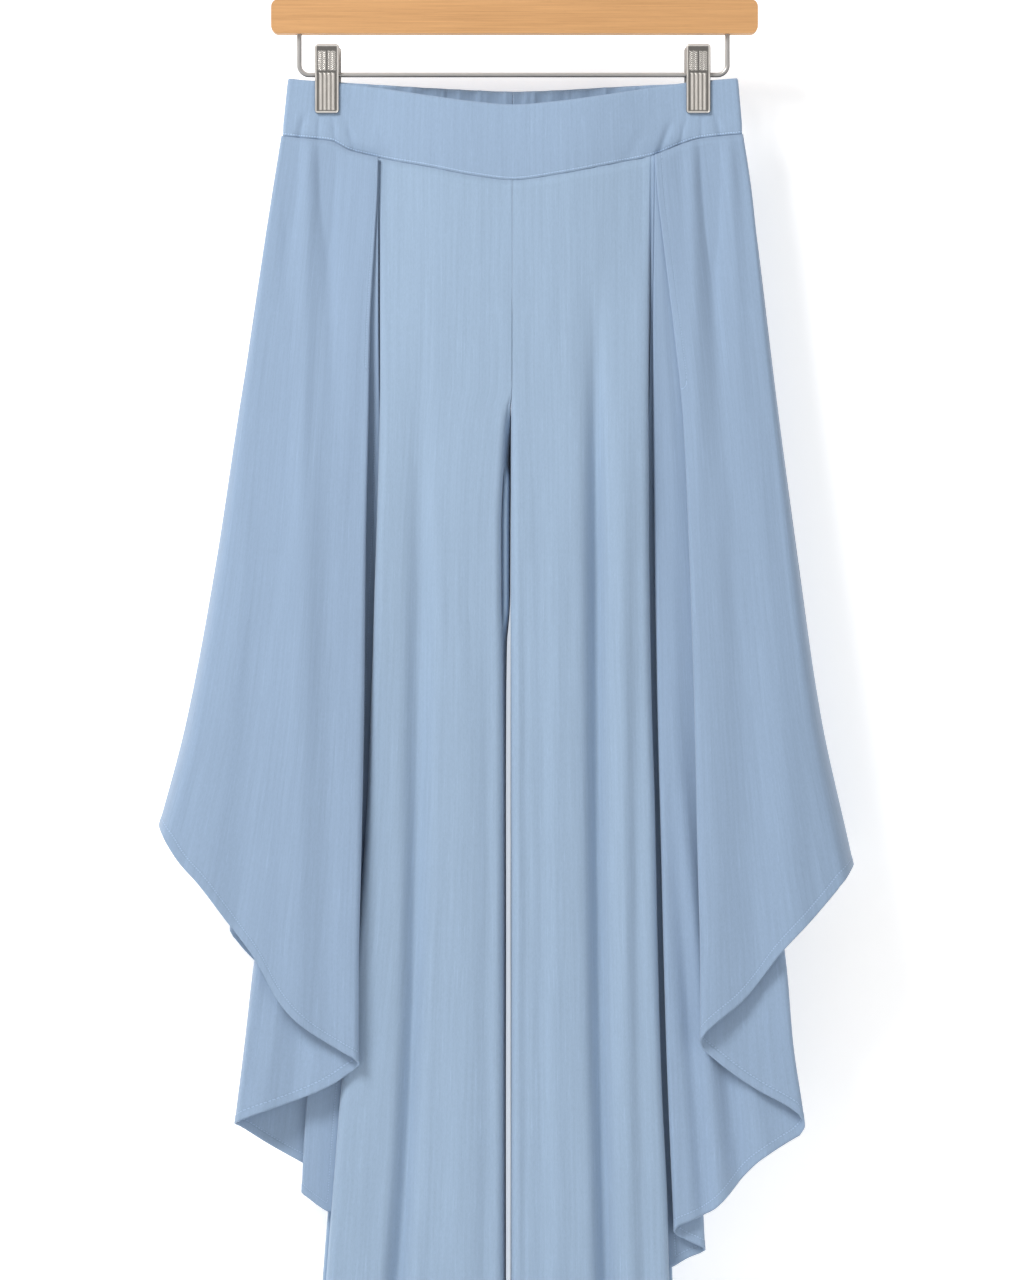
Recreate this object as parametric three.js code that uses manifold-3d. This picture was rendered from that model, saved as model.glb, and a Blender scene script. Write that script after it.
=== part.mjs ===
// Wide trousers with side drapes, hung from a clip hanger. Millimetres, +Z up, the front faces -Y.
// The origin is the crown of the hook, where the hanger is held. A "drop" is a distance below the bar's top.
import * as THREE from "three";
import Module from "manifold-3d";

const wasm = await Module();
wasm.setup();

// Main sizes
const barTopZ = -76;
const barWidth = 389;
const barHeight = 27.4;
const barDepth = 13;
const barCorner = 6;
const barCentreX = 1.2;
const hookWire = 4;
const hookRadius = 22;
const hookNeckInBar = 14;
const railWire = 3.8;
const railDrop = 60;
const railLeftX = -171;
const railRightX = 171.5;
const railBend = 8;
const railInBar = 8;
const clipCentres = { left: -148.7, right: 148.2 };
const clipWidth = 20;
const clipHeight = 55.7;
const clipTopDrop = 35.6;
// The back jaw sits a little nearer the middle and starts lower
const clipBackShift = 1.3;
const clipBackDrop = 1.7;
const clipCorner = 3;
const clipPlate = 1.6;
const clipRim = 0.7;
const clipFlutes = 5;
const clipRidges = 3;
const clothThick = 1;
const bandThick = 2;
const seamGap = 0.3;
const seamDropGap = 0.9;
const halfGap = seamGap / 2;
const wingDepth = 3;
const pinchDepth = 2.2;
const pinchHalf = 12;
const bandCentreDepth = 12;
const bandOpenOver = 98;
const layerStep = 1.4;
const layerBase = 0.6;
const layerLeast = 1.5;
const hemDrop = 1104;

// Looks
const clothColour = 0x7b97ba;
const bandColour = 0x7d99bc;
const woodColour = 0xdaa468;
const steelColour = 0xb4b0ab;
const nickelColour = 0xaba39a;

const clamp01 = (t) => Math.min(1, Math.max(0, t));
const mix = (a, b, t) => a + (b - a) * t;
const smooth = (from, to, t) => {
  const s = clamp01((t - from) / (to - from));
  return s * s * (3 - 2 * s);
};
const zOf = (drop) => barTopZ - drop;

// Reads a column of a table whose first column rises, straight between rows and level past its ends.
function read(table, key, column = 1) {
  const last = table.length - 1;
  if (key <= table[0][0]) return table[0][column];
  for (let i = 0; i < last; i += 1) {
    const [a, b] = [table[i], table[i + 1]];
    if (key <= b[0]) return mix(a[column], b[column], (key - a[0]) / (b[0] - a[0]));
  }
  return table[last][column];
}

// Waistband edges: x, drop of the front's top edge, front's seam, back's top edge, back's seam
const bandEdges = [
  [-185, 62.4, 109, 62.4, 109],
  [-166, 64.4, 111, 63.9, 111],
  [-146, 66.1, 113, 65.2, 112],
  [-130, 67.6, 121, 66.3, 117],
  [-106, 70.8, 127, 68.2, 122],
  [-66, 76.8, 134.5, 71.6, 129],
  [-34, 81.2, 141, 73.6, 133],
  [0, 84, 145, 74.8, 135],
  [38, 81, 140, 73.6, 132.5],
  [78, 75.4, 132, 70.7, 127],
  [111, 70.3, 125, 68.2, 121],
  [138, 66.5, 114.5, 66.6, 113],
  [150, 65.2, 111, 65.5, 110.5],
  [184, 62.4, 107.5, 62.4, 107.5],
];
const edgeColumns = { front: { top: 1, seam: 2 }, back: { top: 3, seam: 4 } };
// The band's own ends: drop, left x, right x
const bandSides = [
  [62, -180, 180],
  [109, -184.8, 184],
];

// How far the band stands out from the middle plane: pinched at the clips, open at the centre.
function bandDepth(x) {
  const inside = clipCentres.right - Math.abs(x);
  if (inside <= 0) return pinchDepth;
  return mix(pinchDepth, bandCentreDepth, smooth(pinchHalf, pinchHalf + bandOpenOver, inside));
}

// Legs: drop, inseam, how far the face's corner leans out from it, outer fold, width of the flat outer part
// behind the drape
const legRows = {
  left: [
    [108, -0.95, 0, -106.4, 75],
    [200, -0.95, 0, -106.2, 58],
    [314, -0.95, 0, -106.1, 40],
    [322, -2.2, 1.6, -106.2, 39],
    [350, -2.5, 4, -106.7, 36],
    [378, -2.6, 5.4, -107.5, 33],
    [422, -2.7, 7, -108.8, 28],
    [476, -2.8, 6.8, -110.7, 24],
    [516, -4.8, 4, -111.8, 21],
    [560, -5.4, 3, -113.4, 18],
    [640, -5.6, 2.4, -116.4, 13],
    [744, -5.6, 2.4, -124, 8],
    [865, -5.6, 2.4, -136.5, 3.2],
    [963, -5.6, 2.4, -144.5, 3.2],
    [1024, -5.6, 2.4, -149.2, 3.2],
    [1104, -5.6, 2.4, -155.2, 3.2],
  ],
  right: [
    [108, -0.65, 0, 110.2, 70],
    [200, -0.65, 0, 109, 54],
    [314, -0.65, 0, 108.3, 38],
    [322, -0.9, 0, 108.2, 37],
    [350, -1.5, 0, 108.2, 33],
    [378, -1.8, 0, 108.3, 30],
    [422, -1.8, 0, 108.3, 26],
    [476, -1.8, 0, 108.9, 22],
    [560, -1.8, 0.4, 110.4, 16],
    [640, -1.8, 0.4, 112.8, 12],
    [744, -1.8, 0.4, 115, 8],
    [865, -1.8, 0.4, 118.5, 4],
    [963, -1.8, 0.4, 123, 3.2],
    [1024, -1.8, 0.4, 124.6, 3.2],
    [1104, -1.8, 0.4, 127.4, 3.2],
  ],
};
// The panels swing open between two drops: from the pinched band to their full depth
const legSwing = { from: 118, to: 440 };
const drapeSwing = { from: 112, to: 700 };
const legOpenAt = (drop) => smooth(legSwing.from, legSwing.to, drop);
const drapeOpenAt = (drop) => smooth(drapeSwing.from, drapeSwing.to, drop);
const wingAt = (x, drop) => mix(bandDepth(x), wingDepth, legOpenAt(drop));
const legDepth = 26;
const legInnerRadius = 8;
const legOuterRadius = 6;
const wingRadius = 2.5;
const wingRadiusShare = 0.35;
// The outer fold turns in over this share of its height, and the upright part under it starts here
const foldHeightShare = 0.6;
const uprightStart = 0.2;
const crotchDrop = 378;
const crotchTurn = 20;
const riseOpenDrop = 314;

// Soft troughs and ridges of the leg panels: x at the top, x at the hem, half width, depth (inward is
// positive), drop where it starts, drop where it is full. They drift sideways mostly near the hem.
const foldDrift = 3;
const legFolds = {
  frontleft: [
    [-73, -100, 10, 7.5, 210, 640],
    [-44, -40, 18, -2.5, 300, 700],
    [-20, -22, 7, 1.5, 420, 600],
  ],
  frontright: [
    [65.5, 76, 8, 9, 190, 460],
    [86, 94, 9, -2, 240, 500],
    [22, 22, 9, 1.6, 300, 520],
    [10, 9, 4, 1.2, 420, 560],
  ],
  backleft: [
    [-62, -78, 13, 7, 240, 760],
    [-28, -30, 12, 3.5, 330, 640],
  ],
  backright: [
    [50, 58, 12, 6.5, 220, 600],
    [84, 92, 9, 3, 300, 760],
  ],
};

// Drapes: drop, then the x of the side edge and of the five folds, the last being the free edge
const drapeRows = {
  frontleft: [
    [106, -185, -107, -114, -109, -111.5, -109],
    [152, -192, -108, -117.5, -109.2, -114.5, -108.4],
    [188, -198, -110, -122, -109.2, -118, -107.8],
    [265, -209, -114, -133, -109, -123, -107.5],
    [336, -220, -115, -143, -109.2, -128, -107.8],
    [448, -237, -117, -159, -111.4, -135, -110.9],
    [576, -261, -118, -178, -115.6, -144, -115.1],
    [681, -289, -120, -193, -121, -151, -120.6],
    [773, -313, -122, -207, -128.4, -157, -128.2],
    [833, -321, -122, -214, -134.8, -161, -134.6],
    [898, -321, -122, -222, -141, -166, -140.8],
    [968, -321, -122, -229, -146.6, -169.5, -146.3],
  ],
  frontright: [
    [106, 184, 112, 118.5, 113, 117, 112.6],
    [152, 191, 115, 123, 113, 119, 111.4],
    [188, 195, 119, 129, 112.6, 120, 110.6],
    [265, 204, 128, 140, 111.6, 123, 110],
    [336, 213, 135, 152, 112, 126, 109.7],
    [448, 228, 140, 169, 113, 131, 110.1],
    [576, 247, 144, 189, 115, 136, 112.2],
    [681, 270, 146, 205, 117.6, 140, 114.9],
    [773, 290, 148, 218, 119.8, 144, 117.1],
    [833, 300, 148, 223, 121.6, 147, 118.9],
    [898, 304, 148, 232, 124.2, 149, 121.4],
    [1014, 304, 148, 239, 129.4, 154, 126.1],
  ],
  backleft: [
    [106, -185, -107, -114, -109, -112.5, -109],
    [188, -198, -110, -123, -110.5, -118, -109.5],
    [336, -220, -119, -148, -116, -129, -114],
    [448, -237, -128, -167, -122, -139, -119],
    [576, -261, -143, -194, -130, -152, -124],
    [681, -289, -160, -217, -137, -163, -131],
    [773, -313, -170, -232, -143, -172, -137],
    [860, -321, -176, -240, -148, -180, -143],
  ],
  backright: [
    [106, 184, 112, 118.5, 113, 117, 113],
    [188, 195, 117, 129, 114, 120, 113],
    [336, 213, 126, 152, 118, 132, 115],
    [448, 228, 134, 165, 123, 143, 119],
    [576, 247, 143, 177, 129, 154, 123],
    [681, 270, 149, 187, 134, 163, 127],
    [773, 290, 154, 196, 138, 171, 130],
    [860, 302, 156, 202, 142, 179, 133],
    [936, 304, 157, 205, 144, 185, 135],
  ],
};
// Depth of each strip between folds low down, and its place in the stack at the waist seam
const drapeLayers = {
  frontleft: { low: [40, 31, 7, 10.5, 14], stack: [5, 4, 1, 2, 3] },
  frontright: { low: [40, 31, 23, 16, 9], stack: [5, 4, 3, 2, 1] },
  backleft: { low: [38, 30, 23, 16, 9], stack: [5, 4, 3, 2, 1] },
  backright: { low: [38, 30, 23, 16, 9], stack: [5, 4, 3, 2, 1] },
};
// Hem of each strip, from the side edge to the free edge: x, drop
const drapeHems = {
  frontleft: [
    [[-283, 658], [-267, 686], [-249, 706], [-228, 734], [-205, 764], [-185, 800],
      [-170, 816], [-138, 837], [-122, 846]],
    [[-124, 851], [-140, 863], [-163, 874], [-208, 890], [-222, 896]],
    [[-221, 898], [-194, 915], [-167, 930], [-150, 940]],
    [[-150, 941], [-169, 951]],
    [[-169, 952], [-158, 961], [-148, 968]],
  ],
  frontright: [
    [[272, 690], [262, 704], [241, 729], [209, 764], [196, 782], [181, 799], [166, 811],
      [153, 823], [148, 832]],
    [[153, 839], [170, 853], [192, 868], [228, 890], [232, 899]],
    [[228, 906], [213, 915], [194, 928], [170, 955], [159, 966], [144, 973], [129, 979]],
    [[129, 986], [153, 997]],
    [[153, 1000], [140, 1005], [127, 1013]],
  ],
  backleft: [
    [[-283, 658], [-250, 680], [-203, 708], [-170, 724]],
    [[-170, 726], [-200, 732], [-226, 738]],
    [[-228, 742], [-225, 750], [-206, 772], [-195, 784], [-170, 800], [-147, 815]],
    [[-147, 817], [-165, 828], [-177, 836]],
    [[-177, 838], [-160, 845], [-143, 856]],
  ],
  backright: [
    [[272, 690], [241, 712], [206, 740], [182, 762], [154, 788]],
    [[155, 790], [178, 800], [198, 810]],
    [[198, 813], [180, 830], [160, 850], [142, 872]],
    [[142, 874], [160, 888], [182, 904]],
    [[182, 906], [160, 920], [135, 936]],
  ],
};
// Puckers that run down from the clips: x at the seam, x where they fade, half width, depth, drop where
// they fade
const puckers = {
  frontleft: [
    [-175, -184, 7, 2, 260],
    [-150, -140, 8, 2.4, 380],
    [-163, -172, 9, -2.2, 620],
  ],
  frontright: [
    [156, 166, 8, 3, 400],
    [172, 184, 7, -1.6, 320],
    [143, 150, 8, -1.8, 460],
  ],
  backleft: [
    [-170, -186, 8, 2.6, 340],
    [-146, -138, 8, 2, 300],
  ],
  backright: [
    [164, 176, 8, 2.6, 380],
    [143, 140, 8, 2, 280],
  ],
};

const bell = (t) => Math.exp(-t * t);
// First guesses and passes for working out where a panel's rows and hem lie
const firstDrop = 120;
const firstHem = 850;
const rowPasses = 6;
const hemPasses = 40;
const outwardOf = { left: -1, right: 1 };
const facingOf = { front: -1, back: 1 };

// Turns a grid of middle points into a closed wall, its faces turned out. A point marked square keeps the
// wall's end there level with the seam's plane.
function wallOf(name, grid, thickness, material) {
  const columns = grid.length;
  const rows = grid[0].length;
  const count = columns * rows;
  const positions = new Float32Array(count * 2 * 3);
  const along = new THREE.Vector3();
  const down = new THREE.Vector3();
  const normal = new THREE.Vector3();
  for (let i = 0; i < columns; i += 1) {
    for (let j = 0; j < rows; j += 1) {
      along.subVectors(grid[Math.min(i + 1, columns - 1)][j], grid[Math.max(i - 1, 0)][j]);
      down.subVectors(grid[i][Math.min(j + 1, rows - 1)], grid[i][Math.max(j - 1, 0)]);
      const p = grid[i][j];
      normal.crossVectors(along, down);
      if (p.square) normal[p.square] = 0;
      normal.normalize().multiplyScalar(thickness / 2);
      const at = (i * rows + j) * 3;
      positions.set([p.x + normal.x, p.y + normal.y, p.z + normal.z], at);
      positions.set([p.x - normal.x, p.y - normal.y, p.z - normal.z], at + count * 3);
    }
  }
  const index = [];
  const quad = (a, b, c, d) => index.push(a, b, c, a, c, d);
  for (let i = 0; i < columns - 1; i += 1) {
    for (let j = 0; j < rows - 1; j += 1) {
      const [a, b, c, d] = [i * rows + j, i * rows + j + 1, (i + 1) * rows + j + 1, (i + 1) * rows + j];
      quad(a, d, c, b);
      quad(a + count, b + count, c + count, d + count);
    }
  }
  const rim = [];
  for (let i = 0; i < columns; i += 1) rim.push(i * rows);
  for (let j = 1; j < rows; j += 1) rim.push((columns - 1) * rows + j);
  for (let i = columns - 2; i >= 0; i -= 1) rim.push(i * rows + rows - 1);
  for (let j = rows - 2; j > 0; j -= 1) rim.push(j);
  rim.forEach((a, k) => {
    const b = rim[(k + 1) % rim.length];
    quad(a, a + count, b + count, b);
  });
  let volume = 0;
  const corner = (v) => new THREE.Vector3().fromArray(positions, v * 3);
  for (let k = 0; k < index.length; k += 3) {
    volume += corner(index[k]).dot(corner(index[k + 1]).cross(corner(index[k + 2])));
  }
  if (volume < 0) {
    for (let k = 0; k < index.length; k += 3) [index[k + 1], index[k + 2]] = [index[k + 2], index[k + 1]];
  }
  const geometry = new THREE.BufferGeometry();
  geometry.setAttribute("position", new THREE.BufferAttribute(positions, 3));
  geometry.setIndex(index);
  geometry.computeVertexNormals();
  const mesh = new THREE.Mesh(geometry, material);
  mesh.name = name;
  return mesh;
}

const materialOf = (color, roughness, metalness) =>
  new THREE.MeshStandardMaterial({ color, roughness, metalness });
const cloth = materialOf(clothColour, 0.9, 0);
const bandCloth = materialOf(bandColour, 0.9, 0);
const wood = materialOf(woodColour, 0.55, 0);
const steel = materialOf(steelColour, 0.3, 1);
const nickel = materialOf(nickelColour, 0.35, 1);

const root = new THREE.Group();
root.name = "palazzo_pants_on_hanger";

// Waistband: a flat tube of a front and two back halves, its ends turned in at the side seams
const bandRows = 3;
const bandGather = 0.6;
const bandGatherPitch = 19;
const bandDrops = { top: 62, seam: 109 };
const bandEndX = 184;
function bandPiece(name, face, fromX, toX, columns, turns) {
  const facing = facingOf[face];
  const edges = edgeColumns[face];
  const turnSteps = 3;
  const turnRadius = pinchDepth - halfGap;
  const stations = [];
  const turnAngles = [0, 1, 2].map((k) => (k / turnSteps) * (Math.PI / 2));
  if (turns.start) turnAngles.forEach((angle) => stations.push({ end: 0, angle }));
  for (let k = 0; k <= columns; k += 1) stations.push({ along: k / columns });
  if (turns.finish) [...turnAngles].reverse().forEach((angle) => stations.push({ end: 1, angle }));
  const sideX = (drop, end) => {
    const wide = end === 0 ? fromX : toX;
    if (end === 0 && !turns.start) return wide;
    if (end === 1 && !turns.finish) return wide;
    return read(bandSides, drop, end === 0 ? 1 : 2) + (end === 0 ? 1 : -1) * (bandThick / 2);
  };
  const grid = stations.map((s) => {
    const column = [];
    for (let j = 0; j <= bandRows; j += 1) {
      const v = j / bandRows;
      const guess = mix(bandDrops.top, bandDrops.seam, v);
      const left = sideX(guess, 0);
      const right = sideX(guess, 1);
      const leftIn = left + (turns.start ? turnRadius : 0);
      const rightIn = right - (turns.finish ? turnRadius : 0);
      let x;
      let y;
      if (s.along !== undefined) {
        x = mix(leftIn, rightIn, s.along);
        const free = smooth(pinchHalf, pinchHalf * 3, clipCentres.right - Math.abs(x));
        const gather = face === "back" ? bandGather : bandGather / 3;
        y = bandDepth(x) + gather * free * Math.sin((2 * Math.PI * x) / bandGatherPitch);
      } else {
        const reach = turnRadius * Math.sin(s.angle);
        const inset = turnRadius * (1 - Math.cos(s.angle));
        x = s.end === 0 ? left + inset : right - inset;
        y = halfGap + reach;
      }
      const drop = mix(read(bandEdges, x, edges.top), read(bandEdges, x, edges.seam), v);
      const point = new THREE.Vector3(x, facing * y, zOf(drop));
      if (s.angle === 0) point.square = "y";
      if (s.along === 0 && !turns.start) point.square = "x";
      if (s.along === 1 && !turns.finish) point.square = "x";
      column.push(point);
    }
    return column;
  });
  root.add(wallOf(name, grid, bandThick, bandCloth));
}
bandPiece("waistband_front", "front", -bandEndX, bandEndX, 34, { start: true, finish: true });
bandPiece("waistband_back_left", "back", -bandEndX, -halfGap, 18, { start: true, finish: false });
bandPiece("waistband_back_right", "back", halfGap, bandEndX, 18, { start: false, finish: true });

// A leg panel: from the inner edge over the face, round the outer fold and out to the side seam
const legRowShares = [0, 0.05, 0.12, 0.195, 0.21, 0.235, 0.262, 0.32, 0.43, 0.55, 0.67, 0.78, 0.89, 1];
const legInnerSteps = 3;
const legFaceSteps = 9;
const cornerSteps = 2;
const wingSteps = 6;
function legPanel(face, side) {
  const facing = facingOf[face];
  const outward = outwardOf[side];
  const rows = legRows[side];
  const folds = legFolds[face + side];
  const seam = edgeColumns[face].seam;
  const stations = [];
  const add = (part, steps, skipFirst) => {
    for (let k = skipFirst ? 1 : 0; k <= steps; k += 1) stations.push({ part, t: k / steps });
  };
  add("inner", legInnerSteps, false);
  add("face", legFaceSteps, true);
  add("outer", cornerSteps, true);
  add("wall", cornerSteps, true);
  add("wing", wingSteps, true);
  add("side", cornerSteps, true);
  const inset = clothThick / 2;
  const pointAt = (s, drop) => {
    const open = legOpenAt(drop);
    const closed = smooth(riseOpenDrop, crotchDrop, drop);
    const inner = read(rows, drop, 1) + outward * inset * closed;
    const lean = read(rows, drop, 2);
    const fold = read(rows, drop, 3) - outward * inset;
    const wing = read(rows, drop, 4);
    const outerX = fold + outward * wing;
    const faceAt = (x) => {
      let y = mix(bandDepth(x), legDepth, open);
      for (const [topX, hemX, halfWidth, depth, start, full] of folds) {
        const centre = mix(topX, hemX, clamp01((drop - start) / (hemDrop - start)) ** foldDrift);
        y -= depth * smooth(start, full, drop) * bell((x - centre) / halfWidth);
      }
      return y;
    };
    const innerRadius = mix(1, legInnerRadius, open) + lean;
    const faceStart = inner + outward * innerRadius;
    const wingIn = wingAt(fold, drop);
    const faceEnd = fold - outward * legOuterRadius;
    const faceOut = faceAt(faceEnd);
    const wallRadius = Math.min(wingRadius, wing * wingRadiusShare);
    const midY = mix(faceOut, wingIn, foldHeightShare);
    const quarter = (s.t * Math.PI) / 2;
    const sin = Math.sin(quarter);
    const cos = Math.cos(quarter);
    let x;
    let y;
    if (s.part === "inner") {
      const start = mix(faceAt(faceStart), halfGap, closed);
      x = faceStart - outward * ((innerRadius - lean) * cos + lean * (1 - sin));
      y = mix(start, faceAt(faceStart), sin);
    } else if (s.part === "face") {
      x = mix(faceStart, faceEnd, s.t);
      y = faceAt(x);
    } else if (s.part === "outer") {
      x = faceEnd + outward * legOuterRadius * sin;
      y = midY + (faceOut - midY) * cos;
    } else if (s.part === "wall") {
      x = fold + outward * wallRadius * (1 - cos);
      y = mix(midY, wingIn, mix(uprightStart, 1, sin));
    } else if (s.part === "wing") {
      x = mix(fold + outward * wallRadius, outerX - outward * wallRadius, s.t);
      y = wingAt(x, drop);
    } else {
      const turned = wingAt(outerX, drop);
      x = outerX - outward * wallRadius * (1 - sin);
      y = mix(halfGap, turned, cos);
    }
    return { x, y };
  };
  const grid = stations.map((s) => {
    return legRowShares.map((share) => {
      let drop = mix(firstDrop, hemDrop, share);
      let point = pointAt(s, drop);
      for (let pass = 0; pass < rowPasses; pass += 1) {
        const top = read(bandEdges, point.x, seam) + seamDropGap;
        drop = mix(top, hemDrop, share);
        point = pointAt(s, drop);
      }
      const place = new THREE.Vector3(point.x, facing * point.y, zOf(drop));
      if (s.part === "inner" && s.t === 0) place.square = drop < crotchDrop - crotchTurn ? "x" : "y";
      if (s.part === "side" && s.t === 1) place.square = "y";
      return place;
    });
  });
  root.add(wallOf(`${face}_leg_${side}`, grid, clothThick, cloth));
}
legPanel("front", "left");
legPanel("front", "right");
legPanel("back", "left");
legPanel("back", "right");

// A side drape: strips between folds, each strip at its own depth, the folds half rounds between them
const drapeRowShares = [0, 0.05, 0.11, 0.18, 0.27, 0.37, 0.48, 0.6, 0.72, 0.82, 0.91, 1];
const stripSteps = [7, 3, 3, 2, 2];
const foldSteps = 4;
const mostFoldRadius = 5;
const foldWidthShare = 0.4;
// The outermost strip climbs to its place in the stack between these shares of its width
const stackRise = { from: 0.5, to: 0.9 };
const puckerDrops = { start: 112, full: 150 };
const sideRadius = { top: 2, low: 16 };
// Depth of the outermost strip at its side, as a share of its full depth, and where across it it is full
const sideShare = 0.8;
const sideRise = 0.45;
function drape(face, side) {
  const facing = facingOf[face];
  const outward = outwardOf[side];
  const key = face + side;
  const rows = drapeRows[key];
  const { low, stack } = drapeLayers[key];
  const hems = drapeHems[key].map((strip) => [...strip].sort((a, b) => a[0] - b[0]));
  const seam = edgeColumns[face].seam;
  const stations = [];
  for (let k = 0; k < 3; k += 1) stations.push({ part: "side", strip: 0, t: k / 3 });
  for (let strip = 0; strip < low.length; strip += 1) {
    for (let k = 0; k <= stripSteps[strip]; k += 1) {
      stations.push({ part: "strip", strip, t: k / stripSteps[strip] });
    }
    if (strip === low.length - 1) break;
    for (let k = 1; k < foldSteps; k += 1) stations.push({ part: "fold", strip, t: k / foldSteps });
  }
  const sectionAt = (drop) => {
    const open = drapeOpenAt(drop);
    const inset = clothThick / 2;
    const edge = (k) => {
      const inwards = k % 2 === 1 ? -outward : outward;
      return read(rows, drop, k + 1) - inwards * (k === low.length ? 0 : inset);
    };
    const edges = low.map((_, k) => edge(k)).concat(edge(low.length));
    const depthAt = (strip, x) => {
      const share = clamp01((x - edges[0]) / (edges[1] - edges[0]));
      let top = bandDepth(x) + layerBase + layerStep * stack[strip];
      let deep = low[strip];
      if (strip === 0) {
        const place = mix(1, stack[0], smooth(stackRise.from, stackRise.to, share));
        top = bandDepth(x) + layerBase + layerStep * place;
        const rise = Math.sin((Math.PI / 2) * clamp01(share / sideRise));
        deep = low[0] * mix(sideShare, 1, rise);
      }
      let y = mix(top, deep, open);
      if (strip === 0) {
        for (const [topX, fadeX, halfWidth, depth, fade] of puckers[key]) {
          const fall = clamp01((drop - puckerDrops.start) / (fade - puckerDrops.start));
          const rise = smooth(puckerDrops.start, puckerDrops.full, drop);
          y -= depth * rise * (1 - fall) * bell((x - mix(topX, fadeX, fall)) / halfWidth);
        }
        y = Math.max(y, wingAt(x, drop) + layerLeast);
      }
      return y;
    };
    const radii = edges.map((x, k) => {
      if (k === 0) return mix(sideRadius.top, sideRadius.low, open);
      if (k === low.length) return 0;
      const step = Math.abs(depthAt(k - 1, x) - depthAt(k, x));
      const narrow = Math.min(Math.abs(edges[k] - edges[k - 1]), Math.abs(edges[k + 1] - edges[k]));
      return Math.min(step / 2, mostFoldRadius, narrow * foldWidthShare);
    });
    return { edges, radii, depthAt };
  };
  const pointAt = (s, drop) => {
    const { edges, radii, depthAt } = sectionAt(drop);
    const k = s.strip;
    const heading = k % 2 === 0 ? -outward : outward;
    const start = edges[k] + heading * radii[k];
    const finish = edges[k + 1] - heading * radii[k + 1];
    if (s.part === "side") {
      const quarter = (s.t * Math.PI) / 2;
      return {
        x: edges[0] + heading * radii[0] * (1 - Math.cos(quarter)),
        y: mix(halfGap, depthAt(0, start), Math.sin(quarter)),
      };
    }
    if (s.part === "strip") {
      const x = mix(start, finish, s.t);
      return { x, y: depthAt(k, x) };
    }
    const turn = s.t * Math.PI;
    const near = depthAt(k, finish);
    const far = depthAt(k + 1, finish);
    return {
      x: finish + heading * radii[k + 1] * Math.sin(turn),
      y: (near + far) / 2 + ((near - far) / 2) * Math.cos(turn),
    };
  };
  const settledHem = (s) => {
    let drop = firstHem;
    for (let pass = 0; pass < hemPasses; pass += 1) {
      const { x } = pointAt(s, drop);
      drop = mix(drop, read(hems[s.strip], x), 0.5);
    }
    return drop;
  };
  const stripHem = (strip, t) => settledHem({ part: "strip", strip, t });
  const hemOf = (s) => {
    if (s.part !== "fold") return settledHem(s);
    return mix(stripHem(s.strip, 1), stripHem(s.strip + 1, 0), s.t);
  };
  const grid = stations.map((s) => {
    const hem = hemOf(s);
    return drapeRowShares.map((share) => {
      let drop = mix(firstDrop, hem, share);
      let point = pointAt(s, drop);
      for (let pass = 0; pass < rowPasses; pass += 1) {
        const top = read(bandEdges, point.x, seam) + seamDropGap;
        drop = mix(top, hem, share);
        point = pointAt(s, drop);
      }
      const place = new THREE.Vector3(point.x, facing * point.y, zOf(drop));
      if (s.part === "side" && s.t === 0) place.square = "y";
      return place;
    });
  });
  root.add(wallOf(`${face}_drape_${side}`, grid, clothThick, cloth));
}
drape("front", "left");
drape("front", "right");
drape("back", "left");
drape("back", "right");

// Solid helpers for the hanger
function solidOf(geometry) {
  const flat = geometry.index ? geometry.toNonIndexed() : geometry;
  const source = flat.getAttribute("position");
  const seen = new Map();
  const vertices = [];
  const triVerts = new Uint32Array(source.count);
  for (let i = 0; i < source.count; i += 1) {
    const p = [source.getX(i), source.getY(i), source.getZ(i)];
    const place = p.map((c) => Math.round(c * 1e4)).join();
    if (!seen.has(place)) {
      seen.set(place, vertices.length / 3);
      vertices.push(...p);
    }
    triVerts[i] = seen.get(place);
  }
  return new wasm.Manifold(
    new wasm.Mesh({ numProp: 3, vertProperties: new Float32Array(vertices), triVerts }),
  );
}
function meshOf(name, solid, material) {
  const { vertProperties, triVerts } = solid.getMesh();
  const geometry = new THREE.BufferGeometry();
  geometry.setAttribute("position", new THREE.BufferAttribute(new Float32Array(vertProperties), 3));
  geometry.setIndex(new THREE.BufferAttribute(new Uint32Array(triVerts), 1));
  geometry.computeVertexNormals();
  const mesh = new THREE.Mesh(geometry, material);
  mesh.name = name;
  root.add(mesh);
}
// A plate in the XZ plane with rounded corners, centred on x, from one drop to another, between two y
function plateOf(centreX, width, topDrop, bottomDrop, corner, fromY, toY) {
  const [w, h] = [width / 2, (bottomDrop - topDrop) / 2];
  const shape = new THREE.Shape();
  shape.moveTo(-w + corner, -h);
  shape.lineTo(w - corner, -h);
  shape.absarc(w - corner, -h + corner, corner, -Math.PI / 2, 0, false);
  shape.lineTo(w, h - corner);
  shape.absarc(w - corner, h - corner, corner, 0, Math.PI / 2, false);
  shape.lineTo(-w + corner, h);
  shape.absarc(-w + corner, h - corner, corner, Math.PI / 2, Math.PI, false);
  shape.lineTo(-w, -h + corner);
  shape.absarc(-w + corner, -h + corner, corner, Math.PI, 1.5 * Math.PI, false);
  const geometry = new THREE.ExtrudeGeometry(shape, {
    depth: toY - fromY,
    bevelEnabled: false,
    curveSegments: 3,
  });
  geometry.rotateX(Math.PI / 2);
  geometry.translate(centreX, toY, zOf((topDrop + bottomDrop) / 2));
  return solidOf(geometry);
}
// A square bar between the same kinds of limits
const barOf = (centreX, width, topDrop, bottomDrop, fromY, toY) =>
  solidOf(
    new THREE.BoxGeometry(width, toY - fromY, bottomDrop - topDrop).translate(
      centreX,
      (fromY + toY) / 2,
      zOf((topDrop + bottomDrop) / 2),
    ),
  );

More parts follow.
